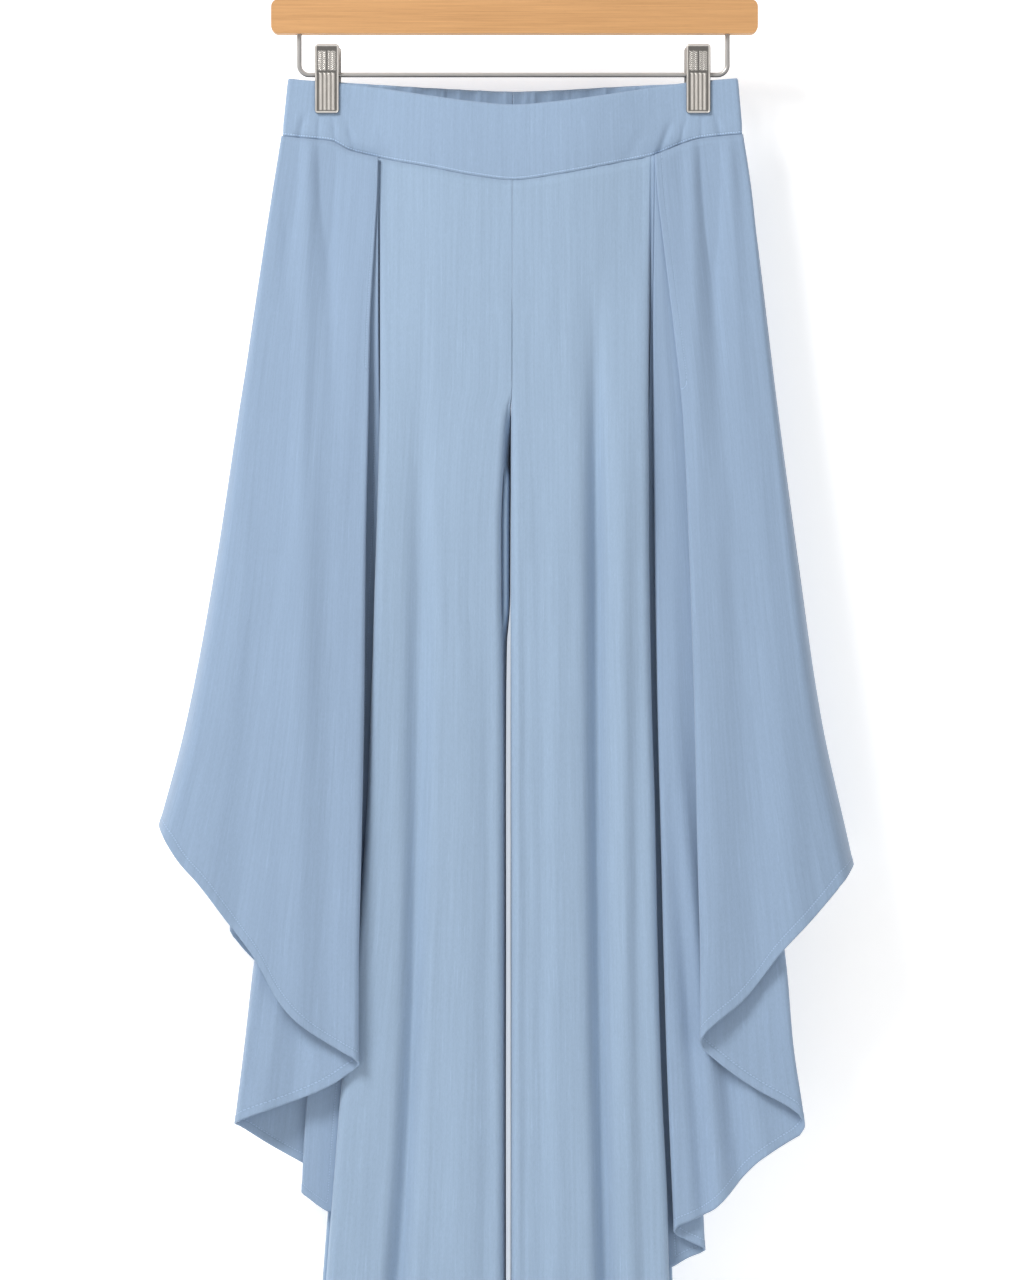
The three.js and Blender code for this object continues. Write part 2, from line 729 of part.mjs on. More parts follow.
// Hook: neck up from the bar, round over the crown and down to a plain end
const crownZ = hookWire / 2;
const hookCentreZ = crownZ - hookRadius;
const neckBottomZ = barTopZ - hookNeckInBar;
const hookPoints = [];
const hookTurnSteps = 14;
// How far above the bar the neck's two rows lie
const hookNeckRows = [3, 28];
const hookFirstAngle = -1.1;
const hookLastAngle = 3.5;
hookPoints.push(new THREE.Vector3(0, 0, neckBottomZ));
hookPoints.push(new THREE.Vector3(0, 0, barTopZ + hookNeckRows[0]));
hookPoints.push(new THREE.Vector3(0, 0, barTopZ + hookNeckRows[1]));
for (let k = 0; k <= hookTurnSteps; k += 1) {
  const angle = mix(hookFirstAngle, hookLastAngle, k / hookTurnSteps);
  hookPoints.push(
    new THREE.Vector3(hookRadius * Math.cos(angle), 0, hookCentreZ + hookRadius * Math.sin(angle)),
  );
}
const circleOf = (diameter, sides) => {
  const shape = new THREE.Shape();
  for (let k = 0; k < sides; k += 1) {
    const angle = (k / sides) * 2 * Math.PI;
    const [x, y] = [(Math.cos(angle) * diameter) / 2, (Math.sin(angle) * diameter) / 2];
    if (k === 0) shape.moveTo(x, y);
    else shape.lineTo(x, y);
  }
  shape.closePath();
  return shape;
};
// A round wire along a curve, its rings spread by the curve's own points
function wireAlong(points, diameter, stepsEach, sides) {
  const curve = new THREE.CatmullRomCurve3(points, false, "centripetal");
  curve.getPointAt = (t, target) => curve.getPoint(t, target);
  curve.getTangentAt = (t, target) => curve.getTangent(t, target);
  const steps = (points.length - 1) * stepsEach;
  const shape = circleOf(diameter, sides);
  return solidOf(new THREE.ExtrudeGeometry(shape, { steps, extrudePath: curve, bevelEnabled: false }));
}
meshOf("hanger_hook", wireAlong(hookPoints, hookWire, 2, 8), steel);

// Clip rail: down from the bar, across and up again
const railZ = zOf(railDrop);
const barBottomZ = zOf(barHeight);
const railTopZ = barBottomZ + railInBar;
const railPoints = [
  [railLeftX, railTopZ],
  [railLeftX, mix(railTopZ, railZ, 0.5)],
  [railLeftX, railZ + railBend],
  [railLeftX + railBend * 0.3, railZ + railBend * 0.3],
  [railLeftX + railBend, railZ],
  [railLeftX + railBend * 1.6, railZ],
  [railRightX - railBend * 1.6, railZ],
  [railRightX - railBend, railZ],
  [railRightX - railBend * 0.3, railZ + railBend * 0.3],
  [railRightX, railZ + railBend],
  [railRightX, mix(railTopZ, railZ, 0.5)],
  [railRightX, railTopZ],
].map(([x, z]) => new THREE.Vector3(x, 0, z));
meshOf("clip_rail", wireAlong(railPoints, railWire, 3, 8), steel);

// Bar: a flat board with rounded corners, bored for the hook's neck and the rail's ends
const boreOf = (x, fromZ, toZ, diameter) =>
  solidOf(
    new THREE.CylinderGeometry(diameter / 2, diameter / 2, toZ - fromZ, 8)
      .rotateX(Math.PI / 2)
      .translate(x, 0, (fromZ + toZ) / 2),
  );
const barBores = [
  boreOf(0, neckBottomZ - 1, barTopZ + 1, hookWire + 4 * seamGap),
  boreOf(railLeftX, barBottomZ - 1, railTopZ + 1, railWire + 4 * seamGap),
  boreOf(railRightX, barBottomZ - 1, railTopZ + 1, railWire + 4 * seamGap),
];
let bar = plateOf(barCentreX, barWidth, 0, barHeight, barCorner, -barDepth / 2, barDepth / 2);
for (const bore of barBores) bar = bar.subtract(bore);
meshOf("hanger_bar", bar, wood);

// Clips: a front and a back jaw on either side of the rail, their lower ends on the waistband
const jawInner = pinchDepth + bandThick / 2 + seamGap;
const clipBottomDrop = clipTopDrop + clipHeight;
// The jaws' relief: a rolled rim, upright flutes low down and level ridges above them
const sunk = 0.4;
const rimWidth = 1.6;
const flute = { width: 1.2, pitch: 3, below: 24, above: 5, high: 0.5 };
const ridge = { width: 1.4, pitch: 5, first: 5, spare: 7, high: 0.4 };
const sleeveLength = 13;
function jaw(name, clipCentre, facing) {
  const centreX = facing < 0 ? clipCentre : clipCentre - Math.sign(clipCentre) * clipBackShift;
  const topDrop = facing < 0 ? clipTopDrop : clipTopDrop + clipBackDrop;
  const near = jawInner;
  const far = near + clipPlate;
  const rimFar = far + clipRim;
  const span = (a, b) => (facing < 0 ? [-b, -a] : [a, b]);
  const ofSize = [centreX, clipWidth, topDrop, clipBottomDrop, clipCorner];
  const plate = plateOf(...ofSize, ...span(near, far));
  let rim = plateOf(...ofSize, ...span(far - sunk, rimFar));
  const hollow = plateOf(
    centreX,
    clipWidth - 2 * rimWidth,
    topDrop + rimWidth,
    clipBottomDrop - rimWidth,
    clipCorner - rimWidth / 2,
    ...span(far - 1, rimFar + 1),
  );
  rim = rim.subtract(hollow);
  let solid = plate.add(rim);
  for (let k = 0; k < clipFlutes; k += 1) {
    const x = centreX + (k - (clipFlutes - 1) / 2) * flute.pitch;
    const ends = [topDrop + flute.below, clipBottomDrop - flute.above];
    solid = solid.add(barOf(x, flute.width, ...ends, ...span(far - sunk, far + flute.high)));
  }
  for (let k = 0; k < clipRidges; k += 1) {
    const top = topDrop + ridge.first + k * ridge.pitch;
    const ends = [top, top + ridge.width];
    const depths = span(far - sunk, far + ridge.high);
    solid = solid.add(barOf(centreX, clipWidth - ridge.spare, ...ends, ...depths));
  }
  meshOf(name, solid, nickel);
}
function sleeve(name, centreX) {
  const tubeOf = (radius, long) => {
    const tube = new THREE.CylinderGeometry(radius, radius, long, 12).rotateZ(Math.PI / 2);
    return solidOf(tube.translate(centreX, 0, railZ));
  };
  const bore = tubeOf(railWire / 2 + seamGap, sleeveLength + 2);
  meshOf(name, tubeOf(jawInner - seamGap, sleeveLength).subtract(bore), nickel);
}
for (const [side, centreX] of Object.entries(clipCentres)) {
  jaw(`clip_${side}_front_jaw`, centreX, -1);
  jaw(`clip_${side}_back_jaw`, centreX, 1);
  sleeve(`clip_${side}_sleeve`, centreX);
}

export default root;
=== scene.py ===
import math

import bpy
import numpy as np
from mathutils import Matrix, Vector


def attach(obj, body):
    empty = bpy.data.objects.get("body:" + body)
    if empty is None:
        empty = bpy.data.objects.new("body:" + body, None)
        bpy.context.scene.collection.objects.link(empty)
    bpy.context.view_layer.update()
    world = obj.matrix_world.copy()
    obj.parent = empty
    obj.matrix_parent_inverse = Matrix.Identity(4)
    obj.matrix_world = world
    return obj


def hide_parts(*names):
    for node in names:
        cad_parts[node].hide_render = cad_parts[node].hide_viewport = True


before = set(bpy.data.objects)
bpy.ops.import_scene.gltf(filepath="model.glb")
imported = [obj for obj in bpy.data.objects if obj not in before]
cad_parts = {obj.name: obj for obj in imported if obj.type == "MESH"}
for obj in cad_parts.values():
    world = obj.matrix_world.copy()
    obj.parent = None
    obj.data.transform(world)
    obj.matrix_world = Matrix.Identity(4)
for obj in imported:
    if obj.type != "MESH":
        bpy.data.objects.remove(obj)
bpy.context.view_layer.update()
scene = bpy.context.scene
mm = 0.001

# Sizes shared with the solids, in millimetres. A drop is a distance below the top of the bar.
barTopZ = -76.0
hemDrop = 1104.0
halfGap = 0.15
pinchDepth = 2.2
pinchHalf = 12.0
bandCentreDepth = 12.0
bandOpenOver = 98.0
clipCentre = 148.2
layerStep = 0.95
layerBase = 0.1
layerLeast = 1.0
wingDepth = 3.0
legDepth = 26.0
riseOpenDrop = 314.0
crotchDrop = 378.0
seamTuck = 0.9
tuckReach = 14.0

# The legs and the flat outer parts open from the band's depth to their own between these drops
openTop = 118
openFull = 440

# Thickness of the cloth, what its turned hem adds, that hem's width, and the width of its step
clothThick = 0.75
hemExtra = 0.6
hemWidth = 6.2
hemStep = 0.9

# Waistband edges: x, drop of the front's top edge, front's seam, back's top edge, back's seam
bandEdges = [
    [-185, 62.4, 109, 62.4, 109], [-166, 64.4, 111, 63.9, 111], [-146, 66.1, 113, 65.2, 112],
    [-130, 67.6, 121, 66.3, 117], [-106, 70.8, 127, 68.2, 122], [-66, 76.8, 134.5, 71.6, 129],
    [-34, 81.2, 141, 73.6, 133], [0, 84, 145, 74.8, 135], [38, 81, 140, 73.6, 132.5],
    [78, 75.4, 132, 70.7, 127], [111, 70.3, 125, 68.2, 121], [138, 66.5, 114.5, 66.6, 113],
    [150, 65.2, 111, 65.5, 110.5], [184, 62.4, 107.5, 62.4, 107.5],
]

# The band's own ends: drop, left x, right x
bandSides = [
    [62, -180, 180], [109, -184.8, 184],
]

# Legs: drop, inseam, how far the corner of the face leans out from it, outer fold, width of the flat
# outer part behind the drape
legRows = {
    "left": [
        [108, -0.95, 0, -106.4, 75], [200, -0.95, 0, -106.2, 58], [314, -0.95, 0, -106.1, 40],
        [322, -2.2, 1.6, -106.2, 39], [350, -2.5, 4, -106.7, 36], [378, -2.6, 5.4, -107.5, 33],
        [422, -2.7, 7, -108.8, 28], [476, -2.8, 6.8, -110.7, 24], [516, -4.8, 4, -111.8, 21],
        [560, -5.4, 3, -113.4, 18], [640, -5.6, 2.4, -116.4, 13], [744, -5.6, 2.4, -124, 8],
        [865, -5.6, 2.4, -136.5, 3.2], [963, -5.6, 2.4, -144.5, 3.2], [1024, -5.6, 2.4, -149.2, 3.2],
        [1104, -5.6, 2.4, -155.2, 3.2],
    ],
    "right": [
        [108, -0.65, 0, 110.2, 70], [200, -0.65, 0, 109, 54], [314, -0.65, 0, 108.3, 38],
        [322, -0.9, 0, 108.2, 37], [350, -1.5, 0, 108.2, 33], [378, -1.8, 0, 108.3, 30],
        [422, -1.8, 0, 108.3, 26], [476, -1.8, 0, 108.9, 22], [560, -1.8, 0.4, 110.4, 16],
        [640, -1.8, 0.4, 112.8, 12], [744, -1.8, 0.4, 115, 8], [865, -1.8, 0.4, 118.5, 4],
        [963, -1.8, 0.4, 123, 3.2], [1024, -1.8, 0.4, 124.6, 3.2], [1104, -1.8, 0.4, 127.4, 3.2],
    ],
}

# Soft troughs and ridges of the legs: x at the top, x at the hem, half width, depth, drop where it
# starts, drop where it is full
legFolds = {
    "frontleft": [
        [-73, -100, 10, 7.5, 210, 640], [-44, -40, 18, -2.5, 300, 700], [-20, -22, 7, 1.5, 420, 600],
    ],
    "frontright": [
        [65.5, 76, 8, 9, 190, 460], [86, 94, 9, -2, 240, 500], [22, 22, 9, 1.6, 300, 520],
        [10, 9, 4, 1.2, 420, 560],
    ],
    "backleft": [
        [-62, -78, 13, 7, 240, 760], [-28, -30, 12, 3.5, 330, 640],
    ],
    "backright": [
        [50, 58, 12, 6.5, 220, 600], [84, 92, 9, 3, 300, 760],
    ],
}

# Drapes: drop, then the x of the side edge and of the five folds, the last being the free edge
drapeRows = {
    "frontleft": [
        [106, -185, -107, -114, -109, -111.5, -109], [152, -192, -108, -117.5, -109.2, -114.5, -108.4],
        [188, -198, -110, -122, -109.2, -118, -107.8], [265, -209, -114, -133, -109, -123, -107.5],
        [336, -220, -115, -143, -109.2, -128, -107.8], [448, -237, -117, -159, -111.4, -135, -110.9],
        [576, -261, -118, -178, -115.6, -144, -115.1], [681, -289, -120, -193, -121, -151, -120.6],
        [773, -313, -122, -207, -128.4, -157, -128.2], [833, -321, -122, -214, -134.8, -161, -134.6],
        [898, -321, -122, -222, -141, -166, -140.8], [968, -321, -122, -229, -146.6, -169.5, -146.3],
    ],
    "frontright": [
        [106, 184, 112, 118.5, 113, 117, 112.6], [152, 191, 115, 123, 113, 119, 111.4],
        [188, 195, 119, 129, 112.6, 120, 110.6], [265, 204, 128, 140, 111.6, 123, 110],
        [336, 213, 135, 152, 112, 126, 109.7], [448, 228, 140, 169, 113, 131, 110.1],
        [576, 247, 144, 189, 115, 136, 112.2], [681, 270, 146, 205, 117.6, 140, 114.9],
        [773, 290, 148, 218, 119.8, 144, 117.1], [833, 300, 148, 223, 121.6, 147, 118.9],
        [898, 304, 148, 232, 124.2, 149, 121.4], [1014, 304, 148, 239, 129.4, 154, 126.1],
    ],
    "backleft": [
        [106, -185, -107, -114, -109, -112.5, -109], [188, -198, -110, -123, -110.5, -118, -109.5],
        [336, -220, -119, -148, -116, -129, -114], [448, -237, -128, -167, -122, -139, -119],
        [576, -261, -143, -194, -130, -152, -124], [681, -289, -160, -217, -137, -163, -131],
        [773, -313, -170, -232, -143, -172, -137], [860, -321, -176, -240, -148, -180, -143],
    ],
    "backright": [
        [106, 184, 112, 118.5, 113, 117, 113], [188, 195, 117, 129, 114, 120, 113],
        [336, 213, 126, 152, 118, 132, 115], [448, 228, 134, 165, 123, 143, 119],
        [576, 247, 143, 177, 129, 154, 123], [681, 270, 149, 187, 134, 163, 127],
        [773, 290, 154, 196, 138, 171, 130], [860, 302, 156, 202, 142, 179, 133],
        [936, 304, 157, 205, 144, 185, 135],
    ],
}

# Depth of each strip between folds low down, and its place in the stack at the waist seam
drapeLayers = {
    "frontleft": {"low": [40, 31, 7, 10.5, 14], "stack": [5, 4, 1, 2, 3]},
    "frontright": {"low": [40, 31, 23, 16, 9], "stack": [5, 4, 3, 2, 1]},
    "backleft": {"low": [38, 30, 23, 16, 9], "stack": [5, 4, 3, 2, 1]},
    "backright": {"low": [38, 30, 23, 16, 9], "stack": [5, 4, 3, 2, 1]},
}

# Hem of each strip, from the side edge to the free edge: x, drop
drapeHems = {
    "frontleft": [
        [[-283, 658], [-267, 686], [-249, 706], [-228, 734], [-205, 764], [-185, 800], [-170, 816],
         [-138, 837], [-122, 846]],
        [[-124, 851], [-140, 863], [-163, 874], [-208, 890], [-222, 896]],
        [[-221, 898], [-194, 915], [-167, 930], [-150, 940]],
        [[-150, 941], [-169, 951]],
        [[-169, 952], [-158, 961], [-148, 968]],
    ],
    "frontright": [
        [[272, 690], [262, 704], [241, 729], [209, 764], [196, 782], [181, 799], [166, 811], [153, 823],
         [148, 832]],
        [[153, 839], [170, 853], [192, 868], [228, 890], [232, 899]],
        [[228, 906], [213, 915], [194, 928], [170, 955], [159, 966], [144, 973], [129, 979]],
        [[129, 986], [153, 997]],
        [[153, 1000], [140, 1005], [127, 1013]],
    ],
    "backleft": [
        [[-283, 658], [-250, 680], [-203, 708], [-170, 724]],
        [[-170, 726], [-200, 732], [-226, 738]],
        [[-228, 742], [-225, 750], [-206, 772], [-195, 784], [-170, 800], [-147, 815]],
        [[-147, 817], [-165, 828], [-177, 836]],
        [[-177, 838], [-160, 845], [-143, 856]],
    ],
    "backright": [
        [[272, 690], [241, 712], [206, 740], [182, 762], [154, 788]],
        [[155, 790], [178, 800], [198, 810]],
        [[198, 813], [180, 830], [160, 850], [142, 872]],
        [[142, 874], [160, 888], [182, 904]],
        [[182, 906], [160, 920], [135, 936]],
    ],
}

# Puckers that run down from the clips: x at the seam, x where they fade, half width, depth, drop where
# they fade
puckers = {
    "frontleft": [
        [-175, -184, 7, 2, 260], [-150, -140, 8, 2.4, 380], [-163, -172, 9, -2.2, 620],
    ],
    "frontright": [
        [156, 166, 8, 3, 400], [172, 184, 7, -1.6, 320], [143, 150, 8, -1.8, 460],
    ],
    "backleft": [
        [-170, -186, 8, 2.6, 340], [-146, -138, 8, 2, 300],
    ],
    "backright": [
        [164, 176, 8, 2.6, 380], [143, 140, 8, 2, 280],
    ],
}


def mix(a, b, t):
    return a + (b - a) * t


def smooth(start, end, t):
    s = np.clip((t - start) / (end - start), 0, 1)
    return s * s * (3 - 2 * s)


def bell(t):
    return np.exp(-t * t)


# Reads a table's column at many keys: a cubic between rows that never overshoots them, and level past
# the ends
def read(rows, key, column=1):
    rows = np.asarray(rows, float)
    knots, values = rows[:, 0], rows[:, column]
    secant = np.diff(values) / np.diff(knots)
    slope = np.zeros(len(knots))
    slope[0], slope[-1] = secant[0], secant[-1]
    same = secant[:-1] * secant[1:] > 0
    inner = np.zeros(len(knots) - 2)
    inner[same] = 2 * (secant[:-1] * secant[1:])[same] / (secant[:-1] + secant[1:])[same]
    slope[1:-1] = inner
    key = np.clip(key, knots[0], knots[-1])
    i = np.clip(np.searchsorted(knots, key, side="right") - 1, 0, len(knots) - 2)
    span = knots[i + 1] - knots[i]
    t = (key - knots[i]) / span
    t2 = t * t
    t3 = t2 * t
    return ((2 * t3 - 3 * t2 + 1) * values[i] + (t3 - 2 * t2 + t) * span * slope[i]
            + (3 * t2 - 2 * t3) * values[i + 1] + (t3 - t2) * span * slope[i + 1])


# How far the band stands out from the middle plane: pinched at the clips, open at the centre
def bandDepth(x):
    inside = clipCentre - np.abs(x)
    return mix(pinchDepth, bandCentreDepth, smooth(pinchHalf, pinchHalf + bandOpenOver, inside))


def wingAt(x, drop):
    return mix(bandDepth(x), wingDepth, smooth(openTop, openFull, drop))


# How far cloth is drawn in under the band's lower edge, fading over a few millimetres
def tuckAt(x, drop, seam):
    return seamTuck * (1 - smooth(0, tuckReach, drop - read(bandEdges, x, seam)))


# Which way is outward on a side, which way a face looks, and the columns of its edges in bandEdges
outwardOf = {"left": -1, "right": 1}
facingOf = {"front": -1, "back": 1}
seamColumn = {"front": 2, "back": 4}
topColumn = {"front": 1, "back": 3}


# Materials

def nodeTree(name):
    material = bpy.data.materials.new(name)
    material.use_nodes = True
    tree = material.node_tree
    return material, tree, tree.nodes["Principled BSDF"]


def newGroup(name, inputs, outputs):
    group = bpy.data.node_groups.new(name, "ShaderNodeTree")
    for label, kind, value in inputs:
        socket = group.interface.new_socket(label, in_out="INPUT", socket_type=kind)
        if value is not None:
            socket.default_value = value
    for label, kind in outputs:
        group.interface.new_socket(label, in_out="OUTPUT", socket_type=kind)
    return group, group.nodes.new("NodeGroupInput"), group.nodes.new("NodeGroupOutput")


def mathNode(tree, operation, a, b=0.0, c=None):
    node = tree.nodes.new("ShaderNodeMath")
    node.operation = operation
    for k, value in enumerate([a, b] if c is None else [a, b, c]):
        if isinstance(value, (int, float)):
            node.inputs[k].default_value = value
        else:
            tree.links.new(value, node.inputs[k])
    return node.outputs[0]


# Noise over a place, with its own scale on each axis
def noise(tree, place, scale, detail=3.0, roughness=0.5):
    mapping = tree.nodes.new("ShaderNodeMapping")
    mapping.inputs["Scale"].default_value = scale
    tree.links.new(place, mapping.inputs["Vector"])
    node = tree.nodes.new("ShaderNodeTexNoise")
    node.inputs["Scale"].default_value = 1.0
    node.inputs["Detail"].default_value = detail
    node.inputs["Roughness"].default_value = roughness
    tree.links.new(mapping.outputs[0], node.inputs["Vector"])
    return node.outputs["Fac"]


def ranged(tree, value, low, high, toLow, toHigh):
    node = tree.nodes.new("ShaderNodeMapRange")
    for k, number in enumerate((low, high, toLow, toHigh)):
        node.inputs[k + 1].default_value = number
    tree.links.new(value, node.inputs[0])
    return node.outputs[0]


# The surface's colour: a fixed colour, or another node's, times a shade
def paint(tree, bsdf, colour, shade):
    tint = tree.nodes.new("ShaderNodeVectorMath")
    tint.operation = "SCALE"
    if isinstance(colour, tuple):
        tint.inputs[0].default_value = colour
    else:
        tree.links.new(colour, tint.inputs[0])
    tree.links.new(shade, tint.inputs["Scale"])
    tree.links.new(tint.outputs[0], bsdf.inputs["Base Color"])


def emboss(tree, bsdf, height, strength, distance):
    bump = tree.nodes.new("ShaderNodeBump")
    bump.inputs["Strength"].default_value = strength
    bump.inputs["Distance"].default_value = distance
    tree.links.new(height, bump.inputs["Height"])
    tree.links.new(bump.outputs[0], bsdf.inputs["Normal"])


# A mesh's map by its name, and a group that reads it
def mapNode(tree, name):
    node = tree.nodes.new("ShaderNodeUVMap")
    node.uv_map = name
    return node.outputs[0]


def groupNode(tree, group, mapName):
    node = tree.nodes.new("ShaderNodeGroup")
    node.node_tree = group
    tree.links.new(mapNode(tree, mapName), node.inputs[0])
    return node.outputs


# The cloth's surface, read from a map in metres: long slubs down the cloth, a fine grain across, and a
# crepe's small crinkles; tone is about 1 and height about 0.5
def slubGroup():
    group, ins, outs = newGroup("slubCloth", [("cloth", "NodeSocketVector", None)],
                                [("tone", "NodeSocketFloat"), ("height", "NodeSocketFloat")])
    cloth = ins.outputs["cloth"]
    streak = noise(group, cloth, (420, 9, 1), 4.0, 0.6)
    broad = noise(group, cloth, (60, 5, 1), 3.0, 0.55)
    crepe = noise(group, cloth, (700, 230, 1), 2.0, 0.6)
    yarn = noise(group, cloth, (3200, 420, 1), 1.0)
    patch = noise(group, cloth, (7, 3, 1), 2.0)
    slub = noise(group, cloth, (900, 34, 1), 2.0)
    tone = 1.0
    for pattern, low, high, darkest, lightest in (
            (streak, 0.25, 0.75, -0.06, 0.06), (yarn, 0.2, 0.8, -0.05, 0.05),
            (patch, 0.3, 0.7, -0.02, 0.02), (crepe, 0.2, 0.8, -0.04, 0.04), (slub, 0.6, 0.75, 0, 0.09)):
        tone = mathNode(group, "ADD", ranged(group, pattern, low, high, darkest, lightest), tone)
    group.links.new(tone, outs.inputs["tone"])
    height = 0.0
    for pattern, share in ((streak, 0.34), (crepe, 0.36), (broad, 0.2), (yarn, 0.14)):
        height = mathNode(group, "MULTIPLY_ADD", pattern, share, height)
    group.links.new(height, outs.inputs["height"])
    return group


# A sewn line, read from a map of (metres along the edge, metres from it): dashes of thread at a set
# distance, in a wider dent
def stitchGroup():
    group, ins, outs = newGroup("stitchLine",
                                [("edge", "NodeSocketVector", None),
                                 ("distance", "NodeSocketFloat", 0.006),
                                 ("pitch", "NodeSocketFloat", 0.0021)],
                                [("thread", "NodeSocketFloat"), ("dent", "NodeSocketFloat")])
    split = group.nodes.new("ShaderNodeSeparateXYZ")
    group.links.new(ins.outputs["edge"], split.inputs[0])
    along, distance = split.outputs[0], split.outputs[1]
    away = mathNode(group, "ABSOLUTE", mathNode(group, "SUBTRACT", distance, ins.outputs["distance"]))
    phase = mathNode(group, "FRACT", mathNode(group, "DIVIDE", along, ins.outputs["pitch"]))
    offCentre = mathNode(group, "ABSOLUTE", mathNode(group, "SUBTRACT", phase, 0.5))
    line = ranged(group, away, 0.0003, 0.0006, 1, 0)
    dash = ranged(group, offCentre, 0.3, 0.4, 1, 0)
    group.links.new(mathNode(group, "MULTIPLY", line, dash), outs.inputs["thread"])
    # the dent's mask, used for its bump and for painted shade along it
    group.links.new(ranged(group, away, 0.0003, 0.0013, 1, 0), outs.inputs["dent"])
    return group


slubCloth = slubGroup()
stitchLine = stitchGroup()


# Cloth: its colour times the slub's tone, with painted shade in the sewn dent, and lighter on the thread
def clothMaterial(name, colour, threadTone=1.32):
    material, tree, bsdf = nodeTree(name)
    slub = groupNode(tree, slubCloth, "cloth")
    stitch = groupNode(tree, stitchLine, "edge")
    # painted shade: the cloth's colour is darkened along the sewn dent
    shade = mathNode(tree, "MULTIPLY", slub["tone"], ranged(tree, stitch["dent"], 0, 1, 1, 0.92))
    shade = mathNode(tree, "MULTIPLY", shade, ranged(tree, stitch["thread"], 0, 1, 1, threadTone))
    paint(tree, bsdf, colour, shade)
    height = mathNode(tree, "SUBTRACT", slub["height"], mathNode(tree, "MULTIPLY", stitch["dent"], 0.9))
    height = mathNode(tree, "MULTIPLY_ADD", stitch["thread"], 0.9, height)
    emboss(tree, bsdf, height, 0.55, 0.00035)
    bsdf.inputs["Roughness"].default_value = 0.82
    bsdf.inputs["Sheen Weight"].default_value = 0.25
    bsdf.inputs["Sheen Roughness"].default_value = 0.5
    bsdf.inputs["Specular IOR Level"].default_value = 0.25
    return material


# One cloth in three copies: the drapes' copy and the band's are painted darker than the legs', as
# painted shade where less light falls on them
clothLeg = clothMaterial("slubCottonLeg", (0.312, 0.420, 0.560))
clothDrapeShaded = clothMaterial("slubCottonDrape", (0.282, 0.382, 0.526))
clothBandShaded = clothMaterial("slubCottonBand", (0.296, 0.401, 0.549), 1.55)
print("materials for cloth ready")


# Meshes

# A closed mesh with its faces turned outward; the last flatFaces of them are the rim, shaded flat
def addMesh(name, vertices, faces, maps, material, flatFaces=0):
    a, b, c, d = np.moveaxis(vertices[faces], 1, 0)
    if (a * (np.cross(b, c) + np.cross(c, d))).sum() < 0:
        faces = faces[:, ::-1]
    mesh = bpy.data.meshes.new(name)
    mesh.vertices.add(len(vertices))
    mesh.vertices.foreach_set("co", (vertices * mm).astype(np.float32).ravel())
    mesh.loops.add(faces.size)
    mesh.loops.foreach_set("vertex_index", faces.astype(np.int32).ravel())
    mesh.polygons.add(len(faces))
    mesh.polygons.foreach_set("loop_start", np.arange(0, faces.size, 4, dtype=np.int32))
    mesh.update(calc_edges=True)
    for label, uv in maps.items():
        layer = mesh.uv_layers.new(name=label)
        layer.data.foreach_set("uv", (uv[faces.ravel()] * mm).astype(np.float32).ravel())
    mesh.polygons.foreach_set("use_smooth", np.arange(len(faces)) < len(faces) - flatFaces)
    mesh.validate()
    mesh.materials.append(material)
    obj = bpy.data.objects.new(name, mesh)
    scene.collection.objects.link(obj)
    return obj


# Puts a piece in the place of its solid
def takePlace(obj, node):
    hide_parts(node)
    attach(obj, "root")


# Two facing grids of points, and the rim that joins them all round
def shell(front, back):
    index = np.arange(front[..., 0].size).reshape(front.shape[:2])
    a, b, c, d = index[:-1, :-1], index[:-1, 1:], index[1:, 1:], index[1:, :-1]
    outer = np.stack([a, d, c, b], -1).reshape(-1, 4)
    inner = np.stack([a, b, c, d], -1).reshape(-1, 4) + index.size
    ring = np.concatenate([index[:, 0], index[-1, 1:], index[-2::-1, -1], index[0, -2:0:-1]])
    after = np.roll(ring, -1)
    rim = np.stack([ring, ring + index.size, after + index.size, after], -1)
    vertices = np.concatenate([front.reshape(-1, 3), back.reshape(-1, 3)])
    return vertices, np.concatenate([outer, inner, rim]), len(rim)


def normalsOf(points):
    n = np.cross(np.gradient(points, axis=0), np.gradient(points, axis=1))
    return n / np.maximum(np.linalg.norm(n, axis=2, keepdims=True), 1e-9)


# A closed wall round a sheet of middle points: both faces stand off by half the thickness. squareStart
# and squareEnd give the axis on which that end of the grid keeps level with a seam's plane.
def clothWall(name, points, thickness, maps, material, squareStart=None, squareEnd=None):
    normal = normalsOf(points)
    for column, axis in ((0, squareStart), (-1, squareEnd)):
        if axis is not None:
            normal[column, :, axis] = 0
            normal[column] /= np.maximum(np.linalg.norm(normal[column], axis=1, keepdims=True), 1e-9)
    half = (thickness / 2)[..., None] * normal
    vertices, faces, rimFaces = shell(points + half, points - half)
    doubled = {label: np.concatenate([uv.reshape(-1, 2)] * 2) for label, uv in maps.items()}
    return addMesh(name, vertices, faces, doubled, material, rimFaces)


# Cloth map: across the developed cloth and down it
def developed(points, drop):
    step = np.linalg.norm(np.diff(points[:, points.shape[1] // 2], axis=0), axis=1)
    across = np.concatenate([[0], np.cumsum(step)])
    return np.stack([np.broadcast_to(across[:, None], drop.shape), drop], -1)


